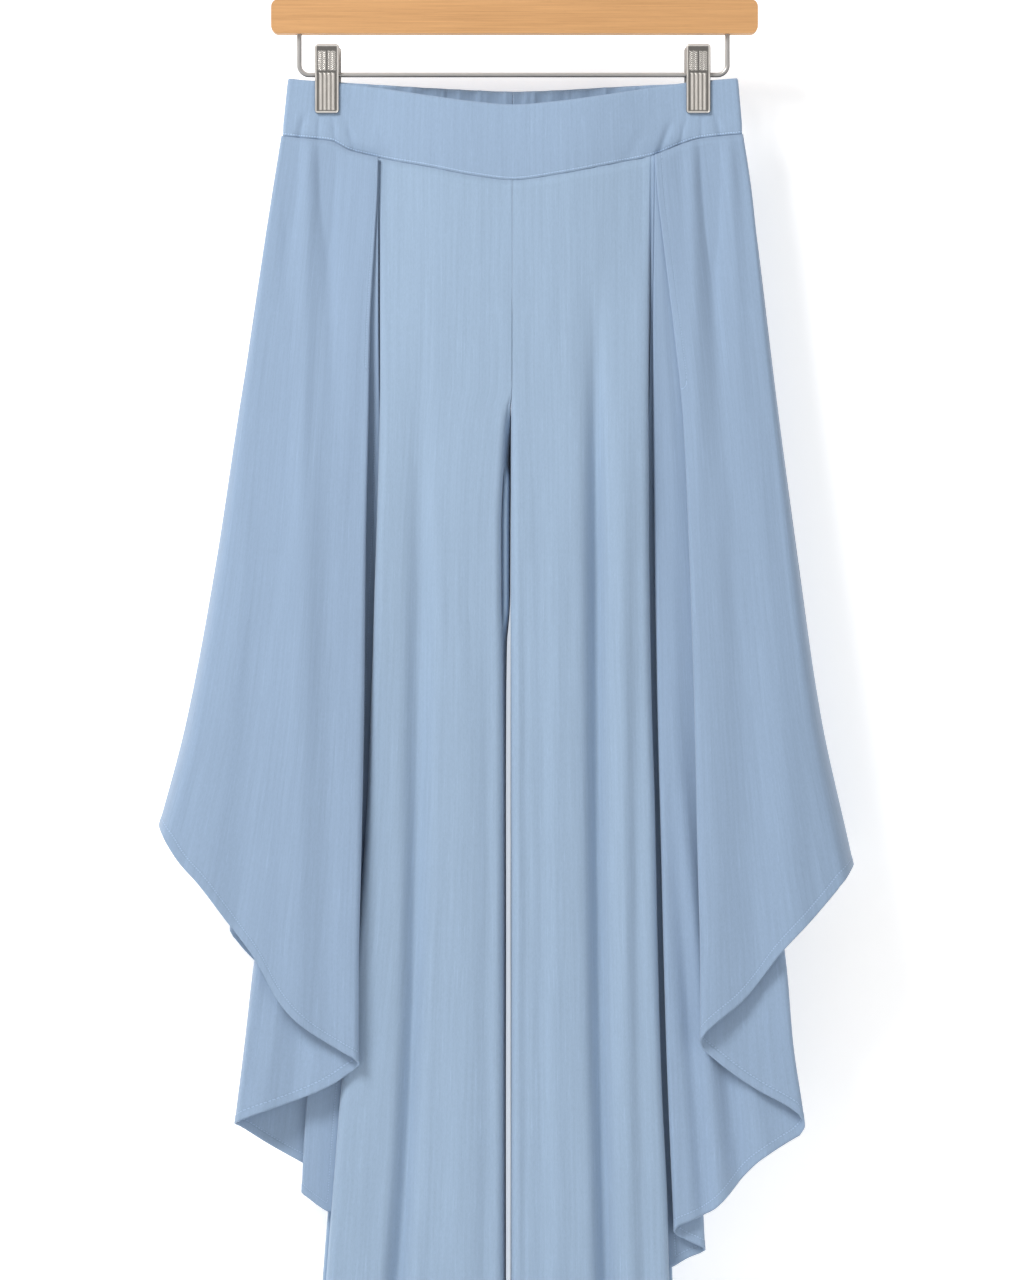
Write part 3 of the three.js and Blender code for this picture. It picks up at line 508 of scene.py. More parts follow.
# Edge map: for each point, how far along the nearest finished edge and how far from it, on the flat
# cloth; the points are worked through in batches
def edgeMap(flat, lines, batch=4000):
    points = flat.reshape(-1, 2)
    best = np.full(len(points), 1e9)
    along = np.zeros(len(points))
    for line, offset in lines:
        a, b = line[:-1], line[1:]
        length = np.concatenate([[0], np.cumsum(np.linalg.norm(b - a, axis=1))])
        for start in range(0, len(points), batch):
            part = slice(start, start + batch)
            p = points[part, None]
            t = np.clip(((p - a) * (b - a)).sum(-1) / np.maximum(((b - a) ** 2).sum(-1), 1e-9), 0, 1)
            gap = np.linalg.norm(p - (a + t[..., None] * (b - a)), axis=-1)
            k = gap.argmin(1)
            rows = np.arange(len(k))
            near = gap[rows, k] + offset
            here = length[k] + t[rows, k] * (length[k + 1] - length[k])
            better = near < best[part]
            along[part] = np.where(better, here, along[part])
            best[part] = np.where(better, near, best[part])
    return np.stack([along, best], -1).reshape(flat.shape)


# Faint uneven waves that run down the cloth: a few sine waves of set size, each drifting sideways a
# little and swelling and fading with the drop. share fades them all.
def crinkled(points, flat, drop, seed, size, share):
    rng = np.random.default_rng(seed)
    waves = 9
    total = np.zeros(drop.shape)
    for _ in range(waves):
        length = rng.uniform(14, 46)
        lean = rng.uniform(-0.09, 0.09)
        swell = 0.5 + 0.5 * np.sin(drop / rng.uniform(110, 300) + rng.uniform(0, 6.3))
        total += swell * np.sin(2 * np.pi * (flat[..., 0] + lean * drop) / length + rng.uniform(0, 6.3))
    return points + normalsOf(points) * (size * total / math.sqrt(waves) * share)[..., None]


# Row places down a panel, close together in the turned hem
def rowShares(count, hemRows, hemShare=0.975):
    return np.concatenate([np.linspace(0, 1, count)[:-1] * hemShare, np.linspace(hemShare, 1, hemRows)])


# Thickness of the cloth at a distance from its finished edge: more in the turned hem
def hemmed(distance):
    return clothThick + hemExtra * (1 - smooth(hemWidth - hemStep, hemWidth, distance))


# A panel from the waist seam to its own hem: its points, its cloth map and its drops. Each part of its
# section is its labels and then its places; pointOf gives their x and y at a drop. Since the seam's drop
# depends on x, the drops are settled in a few rounds.
def hang(parts, pointOf, hem, shares, face):
    sizes = np.cumsum([0] + [len(part[-1]) for part in parts])

    def pointAt(drop):
        found = [pointOf(*part[:-1], part[-1][:, None], drop[sizes[k]:sizes[k + 1]])
                 for k, part in enumerate(parts)]
        return [np.concatenate(axis) for axis in zip(*found)]

    top = 120.0
    for _ in range(9):
        drop = mix(top, hem[:, None], shares[None, :])
        x, y = pointAt(drop)
        top = read(bandEdges, x, seamColumn[face])
    points = np.stack([x, facingOf[face] * y, barTopZ - drop], -1)
    return points, developed(points, drop), drop


# Drapes

# Share of the seam's tuck that a panel takes; how far a front drape's free edge draws back; how much
# deeper than their table the puckers are, and how much narrower; where the puckers start
faceTuck = 0.4
freeTuck = 2.6
puckerMore = 1.6
puckerNarrow = 0.8
puckerDrop = 112

# Where a drape opens from the band's depth to its own, and where its soft folds reach their lower x
drapeOpen = (112, 700)
foldEnd = 900

# The side edge: share of the strip's depth there, share of the strip's width until all of it, radius at
# the top and low down. A fold between strips: its greatest radius, and as a share of the strip's width.
sideShare = 0.8
sideReach = 0.45
sideRadius = (2.0, 16.0)
foldRadius = 5.0
foldShare = 0.4
stripInset = 0.5
drapeSteps = {"side": 10, "strips": [56, 30, 36, 12, 14], "fold": 12}

# Soft folds of the drape's strips: strip, x at the top, x at the hem, half width, depth, drop where it
# starts, drop where it is full
stripFolds = {
    "frontleft": [
        [0, -181, -236, 14, 3.2, 280, 600], [0, -163, -172, 13, -2.5, 240, 480],
        [0, -140, -150, 12, 1.6, 300, 560], [1, -140, -176, 9, 2.2, 500, 860],
        [1, -150, -202, 8, -2.0, 560, 880],
    ],
    "frontright": [
        [0, 150, 160, 12, -2.2, 260, 560], [0, 176, 200, 14, 2.4, 320, 640],
        [0, 206, 232, 14, -2.2, 420, 720], [2, 130, 176, 8, 5.0, 500, 860],
        [2, 124, 160, 7, -3.4, 520, 860], [2, 120, 147, 6, 4.2, 560, 880],
        [2, 134, 196, 9, -2.4, 560, 900],
    ],
    "backleft": [
        [0, -150, -215, 16, 2.5, 340, 680], [0, -136, -196, 10, -2.5, 380, 700],
    ],
    "backright": [
        [0, 150, 200, 16, 2.8, 360, 700], [0, 136, 178, 10, -2.2, 320, 700],
    ],
}


# A point of a drape's section at a drop. The section is a quarter turn at the side edge, and then strips
# that run inwards and outwards by turns, each at its own depth, with a half turn between two of them.
def drapePoint(face, side, part, strip, t, drop):
    key = face + side
    outward = outwardOf[side]
    low, stack = drapeLayers[key]["low"], drapeLayers[key]["stack"]
    last = len(low)
    opened = smooth(*drapeOpen, drop)
    edges = []
    for k in range(last + 1):
        inwards = -outward if k % 2 == 1 else outward
        edges.append(read(drapeRows[key], drop, k + 1) - inwards * (0 if k == last else stripInset))
    if face == "front":
        edges[last] = edges[last] - outward * freeTuck * smooth(240, 420, drop)

    def depthAt(k, x):
        share = np.clip((x - edges[0]) / (edges[1] - edges[0]), 0, 1)
        place, deep = stack[k], low[k]
        if k == 0:
            place = mix(1, stack[0], smooth(0.5, 0.9, share))
            deep = low[0] * mix(sideShare, 1, np.sin(math.pi / 2 * np.clip(share / sideReach, 0, 1)))
        tuck = faceTuck * tuckAt(x, drop, seamColumn[face])
        y = mix(bandDepth(x) - tuck + layerBase + layerStep * place, deep, opened)
        for at, topX, hemX, halfWidth, depth, start, full in stripFolds[key]:
            if at == k:
                centre = mix(topX, hemX, np.clip((drop - start) / (foldEnd - start), 0, 1.2))
                y = y - depth * smooth(start, full, drop) * bell((x - centre) / halfWidth)
        if k == 0:
            for topX, fadeX, halfWidth, depth, fade in puckers[key]:
                fall = np.clip((drop - puckerDrop) / (fade - puckerDrop), 0, 1)
                shape = bell((x - mix(topX, fadeX, fall)) / (halfWidth * puckerNarrow))
                y = y - puckerMore * depth * smooth(100, 135, drop) * (1 - fall) * shape
            y = np.maximum(y, wingAt(x, drop) - tuck + layerLeast)
        return y

    def radiusAt(k):
        if k == 0:
            return mix(*sideRadius, opened)
        if k == last:
            return 0 * drop
        step = np.abs(depthAt(k - 1, edges[k]) - depthAt(k, edges[k]))
        narrow = np.minimum(np.abs(edges[k] - edges[k - 1]), np.abs(edges[k + 1] - edges[k]))
        return np.minimum(np.minimum(step / 2, foldRadius), narrow * foldShare)

    heading = -outward if strip % 2 == 0 else outward
    start = edges[strip] + heading * radiusAt(strip)
    finish = edges[strip + 1] - heading * radiusAt(strip + 1)
    if part == "side":
        quarter = t * math.pi / 2
        x = edges[0] + heading * radiusAt(0) * (1 - np.cos(quarter))
        return x, mix(halfGap, depthAt(0, start), np.sin(quarter))
    if part == "strip":
        x = mix(start, finish, t)
        return x, depthAt(strip, x)
    turn = t * math.pi
    near, far = depthAt(strip, finish), depthAt(strip + 1, finish)
    return (finish + heading * radiusAt(strip + 1) * np.sin(turn),
            (near + far) / 2 + (near - far) / 2 * np.cos(turn))


# The drop where each place of a strip meets its hem line, closed in on from a first guess
def stripHem(face, side, part, strip, t, guess=850.0):
    rows = sorted(drapeHems[face + side][strip])
    drop = np.full(t.shape, guess)
    for _ in range(40):
        x = drapePoint(face, side, part, strip, t, drop)[0]
        drop = mix(drop, read(rows, x), 0.5)
    return drop


def drape(name, piece):
    face, side = piece["face"], piece["side"]
    parts = [("side", 0, np.arange(drapeSteps["side"]) / drapeSteps["side"])]
    for strip, steps in enumerate(drapeSteps["strips"]):
        if strip > 0:
            parts.append(("fold", strip - 1, np.arange(1, drapeSteps["fold"]) / drapeSteps["fold"]))
        parts.append(("strip", strip, np.linspace(0, 1, steps + 1)))
    hems = []
    for part, strip, t in parts:
        if part == "fold":
            ends = [stripHem(face, side, "strip", strip + k, np.array([1.0 - k]))[0] for k in (0, 1)]
            hems.append(mix(*ends, t))
        else:
            hems.append(stripHem(face, side, part, strip, t))
    hem = np.concatenate(hems)
    for _ in range(3):
        hem[1:-1] = (hem[:-2] + 2 * hem[1:-1] + hem[2:]) / 4
    shares = rowShares(100, 12)
    points, flat, drop = hang(parts, lambda *at: drapePoint(face, side, *at), hem, shares, face)
    fade = smooth(openTop, 300, drop) * smooth(0, 0.04, shares)[None, :]
    points = crinkled(points, flat, drop, piece["seed"], 0.3, fade)
    # the hem and the free edge are turned and sewn; the first fold is sewn at the top only
    edges = [(flat[:, -1], 0.0), (flat[-1], 0.0)]
    fold = flat[len(parts[0][-1]) + len(parts[1][-1])]
    sewnFold = (fold[fold[:, 1] < piece["until"]], hemWidth - piece["inset"])
    thick = hemmed(edgeMap(flat, edges)[..., 1])
    maps = {"cloth": flat, "edge": edgeMap(flat, edges + [sewnFold])}
    obj = clothWall(name, points, thick, maps, clothDrapeShaded, squareStart=1)
    takePlace(obj, face + "_drape_" + side)


# The first fold's sewn line: its distance from the fold, and the drop where it ends
drapePieces = {
    "frontDrapeLeft": {"face": "front", "side": "left", "seed": 21, "hangs": "waistbandFront",
                       "inset": 3.0, "until": 300.0, "cut": (0.52, 0.87), "area": 0.225},
    "frontDrapeRight": {"face": "front", "side": "right", "seed": 22, "hangs": "waistbandFront",
                        "inset": 8.0, "until": 310.0, "cut": (0.50, 0.91), "area": 0.205},
    "backDrapeLeft": {"face": "back", "side": "left", "seed": 23, "hangs": "waistbandBackLeft",
                      "inset": 4.0, "until": 260.0, "cut": (0.46, 0.76), "area": 0.165},
    "backDrapeRight": {"face": "back", "side": "right", "seed": 24, "hangs": "waistbandBackRight",
                       "inset": 4.0, "until": 260.0, "cut": (0.46, 0.84), "area": 0.168},
}


# Legs

innerRadius = 6.0
innerSplit = 0.55
foldDrift = 3

# The roll at the face's outer fold: its turn, its depth as a share of the drop to the flat outer part,
# the least and most of that, its width, and how far it overhangs the wall below it
legRoll = {"turn": math.radians(150), "share": 0.27, "least": 0.2, "most": 6.0, "width": 6.0,
           "over": 3.0}

# Finer soft folds, in the columns of legFolds
extraLegFolds = {
    "frontleft": [
        [-74, -100, 6.5, 1.2, 210, 520], [-76, -101, 5.5, 3.0, 560, 900],
        [-86, -113, 6, -1.8, 500, 900], [-60, -84, 7, -1.2, 260, 560],
    ],
    "frontright": [
        [66, 76, 6, 3.6, 190, 420], [34, 36, 8, -1.2, 360, 560], [98, 108, 6, 1.2, 460, 700],
        [88, 96, 7, -1.4, 240, 500],
    ],
    "backleft": [
        [-90, -112, 8, -1.5, 300, 600],
    ],
    "backright": [
        [30, 32, 8, -1.5, 340, 600],
    ],
}

# The back left panel fills out towards the other leg below the crotch: how far, and at which drops
crotchFill = {"reach": 0.75, "start": 318.0, "full": 345.0, "fade": 490.0, "end": 520.0}

# The front left panel's side under the crotch: shares of the way up, of its lean and of its depth
swellKnots = np.array([
    [0, 0, 0], [0.2, 0.02, 0.64], [0.4, 0.26, 0.88], [0.58, 0.60, 0.90], [0.75, 0.88, 0.74],
    [0.88, 0.98, 0.80], [1, 1, 1],
])
swellDrops = {"start": 370, "full": 384, "fade": 490, "end": 516}


# Rises from 0 to 1 between two drops and falls back between two more
def between(drops, drop):
    rise = smooth(drops["start"], drops["full"], drop)
    return rise * (1 - smooth(drops["fade"], drops["end"], drop))


# A point of a leg panel's section at a drop. The section runs from the inseam up its side, over the
# face, round the roll at the outer fold, down a wall, and along the flat outer part to the side seam.
def legPoint(face, side, part, t, drop):
    key = face + side
    outward = outwardOf[side]
    rows = legRows[side]
    opened = smooth(openTop, openFull, drop)
    closed = smooth(riseOpenDrop, crotchDrop, drop)
    inner = read(rows, drop, 1) + outward * 0.4 * closed
    if key == "backleft":
        inner = inner + crotchFill["reach"] * between(crotchFill, drop)
    lean = read(rows, drop, 2) * (1 if face == "front" else 0.3)
    fold = read(rows, drop, 3) - outward * 0.5
    wing = read(rows, drop, 4)
    outerX = fold + outward * wing
    wallRadius = np.minimum(2.5, wing * 0.35)

    def tucked(depth, x):
        return depth - faceTuck * tuckAt(x, drop, seamColumn[face])

    def faceAt(x):
        y = tucked(mix(bandDepth(x), legDepth, opened), x)
        for topX, hemX, halfWidth, depth, start, full in legFolds[key] + extraLegFolds[key]:
            centre = mix(topX, hemX, np.clip((drop - start) / (hemDrop - start), 0, 1) ** foldDrift)
            y = y - depth * smooth(start, full, drop) * bell((x - centre) / halfWidth)
        return y

    def wingDepthAt(x):
        return tucked(wingAt(x, drop), x)

    radius = mix(1.0, innerRadius, opened)
    faceStart = inner + outward * (radius + lean)
    faceEnd = fold - outward * legRoll["width"]
    faceOut, wingIn = faceAt(faceEnd), wingDepthAt(fold)
    # the face rolls over past its outermost line and back under by the overhang, then drops to the wing
    bulge = np.clip(legRoll["share"] * (faceOut - wingIn), legRoll["least"], legRoll["most"])
    overhang = legRoll["over"] * smooth(240, 420, drop)
    wallX = fold - outward * overhang
    sin, cos = np.sin(t * math.pi / 2), np.cos(t * math.pi / 2)
    if part == "inner":
        # straight up from the inseam to the corner, then round it to the face
        near = faceAt(faceStart)
        base = mix(near, halfGap, closed)
        roll = np.minimum(radius, 0.8 * (near - base))
        rise = np.clip(t / innerSplit, 0, 1)
        turn = np.clip((t - innerSplit) / (1 - innerSplit), 0, 1) * math.pi / 2
        across, ahead = lean * rise, mix(base, near - roll, rise)
        if key == "frontleft":
            # under the crotch the side swells forward between two creases
            swell = between(swellDrops, drop)
            shareX, shareY = (np.interp(rise, swellKnots[:, 0], swellKnots[:, k]) for k in (1, 2))
            across = mix(across, lean * shareX, swell)
            ahead = mix(ahead, mix(base, near - roll, shareY), swell)
        return inner + outward * (across + radius * (1 - np.cos(turn))), ahead + roll * np.sin(turn)
    if part == "face":
        x = mix(faceStart, faceEnd, t)
        return x, faceAt(x)
    if part == "outer":
        turn = legRoll["turn"] * t
        wide = legRoll["width"] * np.sin(np.minimum(turn, math.pi / 2))
        under = np.where(turn > math.pi / 2, 2 * overhang * (1 - np.sin(turn)), 0)
        return faceEnd + outward * (wide - under), faceOut - bulge * (1 - np.cos(turn))
    if part == "wall":
        rollEnd = faceOut - bulge * (1 - math.cos(legRoll["turn"]))
        return wallX + outward * wallRadius * (1 - cos), mix(rollEnd, wingIn, sin)
    if part == "wing":
        x = mix(wallX + outward * wallRadius, outerX - outward * wallRadius, t)
        return x, wingDepthAt(x)
    return outerX - outward * wallRadius * (1 - sin), mix(halfGap, wingDepthAt(outerX), cos)


legSteps = {"inner": 24, "face": 76, "outer": 12, "wall": 8, "wing": 12, "side": 4}


def leg(name, piece):
    face, side = piece["face"], piece["side"]
    parts = [(part, np.linspace(0, 1, steps + 1)[0 if part == "inner" else 1:])
             for part, steps in legSteps.items()]
    hem = np.full(sum(len(t) for _, t in parts), hemDrop)
    shares = rowShares(120, 10)
    points, flat, drop = hang(parts, lambda *at: legPoint(face, side, *at), hem, shares, face)
    points = crinkled(points, flat, drop, piece["seed"], 0.28, smooth(openTop, 260, drop))
    edge = edgeMap(flat, [(flat[:, -1], 0.0)])
    obj = clothWall(name, points, hemmed(edge[..., 1]), {"cloth": flat, "edge": edge}, clothLeg)
    takePlace(obj, face + "_leg_" + side)


legPieces = {
    "frontLegLeft": {"face": "front", "side": "left", "seed": 11, "hangs": "waistbandFront"},
    "frontLegRight": {"face": "front", "side": "right", "seed": 12, "hangs": "waistbandFront"},
    "backLegLeft": {"face": "back", "side": "left", "seed": 13, "hangs": "waistbandBackLeft"},
    "backLegRight": {"face": "back", "side": "right", "seed": 14, "hangs": "waistbandBackRight"},
}


# Waistband

# Creases of the elastic back: x, half width, depth, how far down from the top edge it runs (share)
backCreases = [
    [-56, 1.6, 0.9, 0.75], [-43, 1.4, 0.7, 0.5], [-27, 1.8, 1.0, 0.8], [10.5, 1.5, 0.9, 0.7],
    [17, 1.4, 0.7, 0.6], [74, 1.7, 0.8, 0.7], [-82, 1.8, 0.7, 0.6], [44, 1.8, 0.7, 0.6],
    [-104, 1.8, 0.8, 0.8], [98, 1.8, 0.8, 0.8], [-6, 1.3, 0.5, 0.5], [31, 1.4, 0.5, 0.4],
]

# Puckers of the front that fan out from the clips: x at the top, x at the seam, half width, depth
frontCreases = [
    [-160, -171, 3.0, 1.5], [-153, -156, 2.2, 0.8], [-146, -142, 2.2, 0.9], [-141, -126, 3.4, 1.2],
    [138, 117, 3.6, 1.5], [143, 134, 2.4, 1.0], [150, 151, 2.0, 0.7], [156, 166, 2.8, 1.3],
    [-118, -96, 6.0, 0.7], [118, 92, 6.0, 0.7],
]

# The elastic back stands up a little more than its seam line, and the front sags a little
topShift = {"front": 0.8, "back": -2.8}

# Depth of the gathers' waves, and their length
gatherDepth = {"front": 0.06, "back": 0.6}
gatherLength = 19

# The band's rows, its thickness and that at its seam, and how far in from the sides its ends turn
bandRows = 30
bandThick = 2.0
bandSeamThick = 0.85
endInset = 1.0


# A band piece over x and its share v of the way from its top edge to its seam: the band's depth, with
# gathers, a soft swell and creases. An end that turns goes round a quarter turn to the middle plane;
# one that doesn't stops at the centre seam.
def bandPiece(name, piece):
    face, turns = piece["face"], piece["turns"]
    turnRadius = pinchDepth - halfGap
    v = np.linspace(0, 1, bandRows)[None, :]
    guess = mix(62.0, 109.0, v)
    ends = []
    for end, inwards in ((0, 1), (1, -1)):
        if turns[end]:
            ends.append(read(bandSides, guess, end + 1) + inwards * endInset)
        else:
            ends.append(np.full(guess.shape, piece["seamX"]))
    leftIn = ends[0] + (turnRadius if turns[0] else 0)
    rightIn = ends[1] - (turnRadius if turns[1] else 0)
    x = mix(leftIn, rightIn, np.linspace(0, 1, piece["columns"])[:, None])
    inside = clipCentre - np.abs(x)
    free = smooth(pinchHalf, pinchHalf * 3, inside)
    y = bandDepth(x) + gatherDepth[face] * free * np.sin(2 * math.pi * x / gatherLength)
    y = y + 0.7 * np.sin(math.pi * v) * smooth(20, 60, inside)
    if face == "back":
        for at, halfWidth, depth, reach in backCreases:
            y = y - depth * bell((x - at) / halfWidth) * (1 - smooth(reach - 0.3, reach, v))
    else:
        for topX, seamX, halfWidth, depth in frontCreases:
            y = y - depth * bell((x - mix(topX, seamX, v)) / halfWidth) * smooth(0.45, 0.8, v)
    angles = np.linspace(0, math.pi / 2, 7)[:-1, None]
    xs, ys = [x], [y]
    if turns[0]:
        xs.insert(0, ends[0] + turnRadius * (1 - np.cos(angles)))
        ys.insert(0, mix(halfGap, y[:1], np.sin(angles)))
    if turns[1]:
        back = angles[::-1]
        xs.append(ends[1] - turnRadius * (1 - np.cos(back)))
        ys.append(mix(halfGap, y[-1:], np.sin(back)))
    x, y = np.concatenate(xs), np.concatenate(ys)
    top, low = read(bandEdges, x, topColumn[face]), read(bandEdges, x, seamColumn[face])
    top = top + topShift[face] * smooth(10, 110, clipCentre - np.abs(x))
    drop = mix(top, low, v)
    points = np.stack([x, facingOf[face] * y, barTopZ - drop], -1)
    flat = developed(points, drop)
    edge = np.stack([flat[..., 0], low - drop + 4.0], -1)
    # the band rounds over at its top edge and tucks in at its seam
    thick = bandThick * np.sqrt(np.clip(1 - (np.maximum(0, 0.06 - v) / 0.062) ** 2, 0.2, 1))
    thick = mix(thick, bandSeamThick, smooth(0.75, 1, v))
    obj = clothWall(name, points, thick, {"cloth": flat, "edge": edge}, clothBandShaded,
                    squareStart=1 if turns[0] else 0, squareEnd=1 if turns[1] else 0)
    takePlace(obj, piece["node"])


bandPieces = {
    "waistbandFront": {
        "node": "waistband_front", "face": "front", "turns": (True, True), "columns": 300,
        "cut": (0.37, 0.06), "area": 0.021, "rests": ["clip_left_front_jaw", "clip_right_front_jaw"],
    },
    "waistbandBackLeft": {
        "node": "waistband_back_left", "face": "back", "turns": (True, False), "seamX": -0.02,
        "columns": 170, "cut": (0.25, 0.06), "area": 0.0105, "rests": ["clip_left_back_jaw"],
    },
    "waistbandBackRight": {
        "node": "waistband_back_right", "face": "back", "turns": (False, True), "seamX": 0.02,
        "columns": 170, "cut": (0.25, 0.06), "area": 0.0105, "rests": ["clip_right_back_jaw"],
    },
}
for label, build, pieces in (("waistband", bandPiece, bandPieces), ("legs", leg, legPieces),
                             ("drapes", drape, drapePieces)):
    for name, piece in pieces.items():
        build(name, piece)
    print(label, "ready")


# Hanger

def objectCoords(tree):
    return tree.nodes.new("ShaderNodeTexCoord").outputs["Object"]


def beechMaterial():
    material, tree, bsdf = nodeTree("lightBeech")
    place = objectCoords(tree)
    grain = noise(tree, place, (14, 500, 900), 5.0, 0.6)
    broad = noise(tree, place, (5, 60, 110), 4.0, 0.55)
    pores = noise(tree, place, (90, 1400, 2600), 2.0)
    ramp = tree.nodes.new("ShaderNodeValToRGB")
    for element, at, colour in zip(ramp.color_ramp.elements, (0.3, 0.7),
                                   ((0.52, 0.27, 0.105, 1), (0.69, 0.375, 0.16, 1))):
        element.position = at
        element.color = colour
    mixed = mathNode(tree, "MULTIPLY_ADD", grain, 0.75, mathNode(tree, "MULTIPLY", broad, 0.25))
    tree.links.new(mixed, ramp.inputs[0])
    paint(tree, bsdf, ramp.outputs[0], ranged(tree, pores, 0.25, 0.4, 0.86, 1.0))
    emboss(tree, bsdf, grain, 0.25, 0.0002)
    bsdf.inputs["Roughness"].default_value = 0.5
    return material


# Plated metal with painted shade: darker where its painted shade map is low, lighter where that map
# paints a highlight
def metalMaterial(name, colour, low, high, scratch, metallic):
    material, tree, bsdf = nodeTree(name)
    place = objectCoords(tree)
    mottled = noise(tree, place, (120, 120, 120))
    fine = noise(tree, place, scratch, 2.0)
    split = tree.nodes.new("ShaderNodeSeparateXYZ")
    tree.links.new(mapNode(tree, "relief"), split.inputs[0])
    # painted shade and highlight from the map, times a random mottled tone
    shade = mathNode(tree, "MULTIPLY", ranged(tree, mottled, 0.3, 0.7, 0.97, 1.02),
                     ranged(tree, split.outputs[0], 0.15, 0.8, 0.16, 1.0))
    paint(tree, bsdf, colour, shade)
    tree.links.new(ranged(tree, fine, 0.3, 0.7, low, high), bsdf.inputs["Roughness"])
    bsdf.inputs["Metallic"].default_value = metallic
    return material


beech = beechMaterial()
steel = metalMaterial("polishedSteel", (0.56, 0.54, 0.52), 0.30, 0.34, (40, 40, 40), 0.45)
nickel = metalMaterial("nickelPlate", (0.76, 0.72, 0.67), 0.28, 0.38, (900, 900, 160), 0.5)


# Painted shade map: a value from 0 to 1 for each vertex, low for painted shade and high for a painted
# highlight
def paintedShadeMap(values):
    return {"relief": np.stack([values, 0 * values], -1).reshape(-1, 2) / mm}


wireSides = 20
# A wire's end: place of each ring, and its size in radii
wireCap = np.array([[-0.5, 0.02], [-0.45, 0.45], [-0.25, 0.8], [0.0, 1.0]])
# The way that a wire's painted highlight faces; the side turned from it is painted in shade
wireLight = np.array([-0.35, -0.4, 0.85])


# A round wire: rings across a path in the hanger's plane, closed at both ends by shrinking rings. Its
# painted shade map holds a painted highlight above and in front, and painted shade underneath.
def wire(name, path, radius, node):
    tangent = np.gradient(path, axis=0)
    tangent /= np.linalg.norm(tangent, axis=1, keepdims=True)
    side = np.array([0.0, 1.0, 0.0])
    across = np.cross(tangent, side)
    inset = radius * (wireCap[:, :1] + 0.5) * 0.6
    closing = (path[-1] - tangent[-1] * inset)[::-1]
    centres = np.concatenate([path[0] + tangent[0] * inset, path[1:-1], closing])
    sizes = np.concatenate([wireCap[:, 1], np.ones(len(path) - 2), wireCap[::-1, 1]]) * radius
    lead = np.concatenate([np.repeat(across[:1], 4, 0), across[1:-1], np.repeat(across[-1:], 4, 0)])
    angle = np.linspace(0, 2 * math.pi, wireSides, endpoint=False)[None, :, None]
    spokes = sizes[:, None, None] * (np.cos(angle) * lead[:, None] + np.sin(angle) * side)
    index = np.arange(spokes[..., 0].size).reshape(spokes.shape[:2])
    after = np.roll(index, -1, axis=1)
    faces = [np.stack([index[:-1], after[:-1], after[1:], index[1:]], -1).reshape(-1, 4)]
    k = np.arange(wireSides // 2 - 1)
    for ring, way in ((index[0], -1), (index[-1], 1)):
        cap = np.stack([ring[k], ring[k + 1], ring[wireSides - 2 - k], ring[wireSides - 1 - k]], -1)
        faces.append(cap[:, ::way])
    vertices = (centres[:, None] + spokes).reshape(-1, 3)
    # the map paints a highlight on the side facing a fixed light direction and shade on the side away
    # from it
    relief = paintedShadeMap(0.5 + 0.5 * (spokes / radius) @ wireLight)
    obj = addMesh(name, vertices, np.concatenate(faces), relief, steel)
    takePlace(obj, node)


# A round arc in the hanger's plane, sampled evenly between two angles
def arc(centreX, centreZ, radius, start, end, count):
    angle = np.linspace(start, end, count)
    return np.stack([centreX + radius * np.cos(angle), 0 * angle, centreZ + radius * np.sin(angle)], -1)


# A straight run between two points, without its last point
def run(start, end, count):
    share = np.linspace(0, 1, count, endpoint=False)[:, None]
    return mix(np.array(start, float), np.array(end, float), share)


# A cubic that leaves one point and meets the next along the given slopes, without its last point
def blend(start, startSlope, end, endSlope, count):
    t = np.linspace(0, 1, count, endpoint=False)[:, None]
    a, m, b, n = (np.array(part, float) for part in (start, startSlope, end, endSlope))
    return ((2 * t ** 3 - 3 * t ** 2 + 1) * a + (t ** 3 - 2 * t ** 2 + t) * m
            + (3 * t ** 2 - 2 * t ** 3) * b + (t ** 3 - t ** 2) * n)


# Hook: its crown is the origin, its neck stands in the bar
hook = {"radius": 22.0, "centreZ": -20.0, "first": -1.1, "last": 3.5, "neckTop": -50.0, "foot": -90.0,
        "wire": 2.0}
hookTurn = arc(0, hook["centreZ"], hook["radius"], hook["first"], hook["last"], 120)
hookNeck = run([0, 0, hook["foot"]], [0, 0, hook["neckTop"]], 30)
hookBend = blend([0, 0, hook["neckTop"]], [0, 0, 12], hookTurn[0], (hookTurn[1] - hookTurn[0]) * 18, 26)
wire("hookWire", np.concatenate([hookNeck, hookBend, hookTurn]), hook["wire"], "hanger_hook")

# Rail: down from the bar, a quarter turn, across, and up again
rail = {"left": -171.0, "right": 171.5, "z": -136.0, "top": -95.4, "bend": 8.0, "wire": 1.9}
bend, bendZ = rail["bend"], rail["z"] + rail["bend"]
railStart, railEnd = ([rail[side], 0, rail["top"]] for side in ("left", "right"))
bendLeft = arc(rail["left"] + bend, bendZ, bend, math.pi, 1.5 * math.pi, 16)
bendRight = arc(rail["right"] - bend, bendZ, bend, 1.5 * math.pi, 2 * math.pi, 16)
railPath = [
    run(railStart, bendLeft[0], 24), bendLeft[:-1], run(bendLeft[-1], bendRight[0], 180),
    bendRight[:-1], run(bendRight[-1], railEnd, 24), [railEnd],
]
wire("railWire", np.concatenate(railPath), rail["wire"], "clip_rail")

# A jaw: its plate's size and corner radius, how far its inner face stands out from the middle plane, its
# plate's thickness, its rim's height, and the pitches of its ribs and ridges
jaw = {"width": 19.4, "height": 55.4, "corner": 2.6, "inner": 3.5, "plate": 1.5, "rim": 0.85,
       "ribPitch": 3.3, "ridgePitch": 1.55}


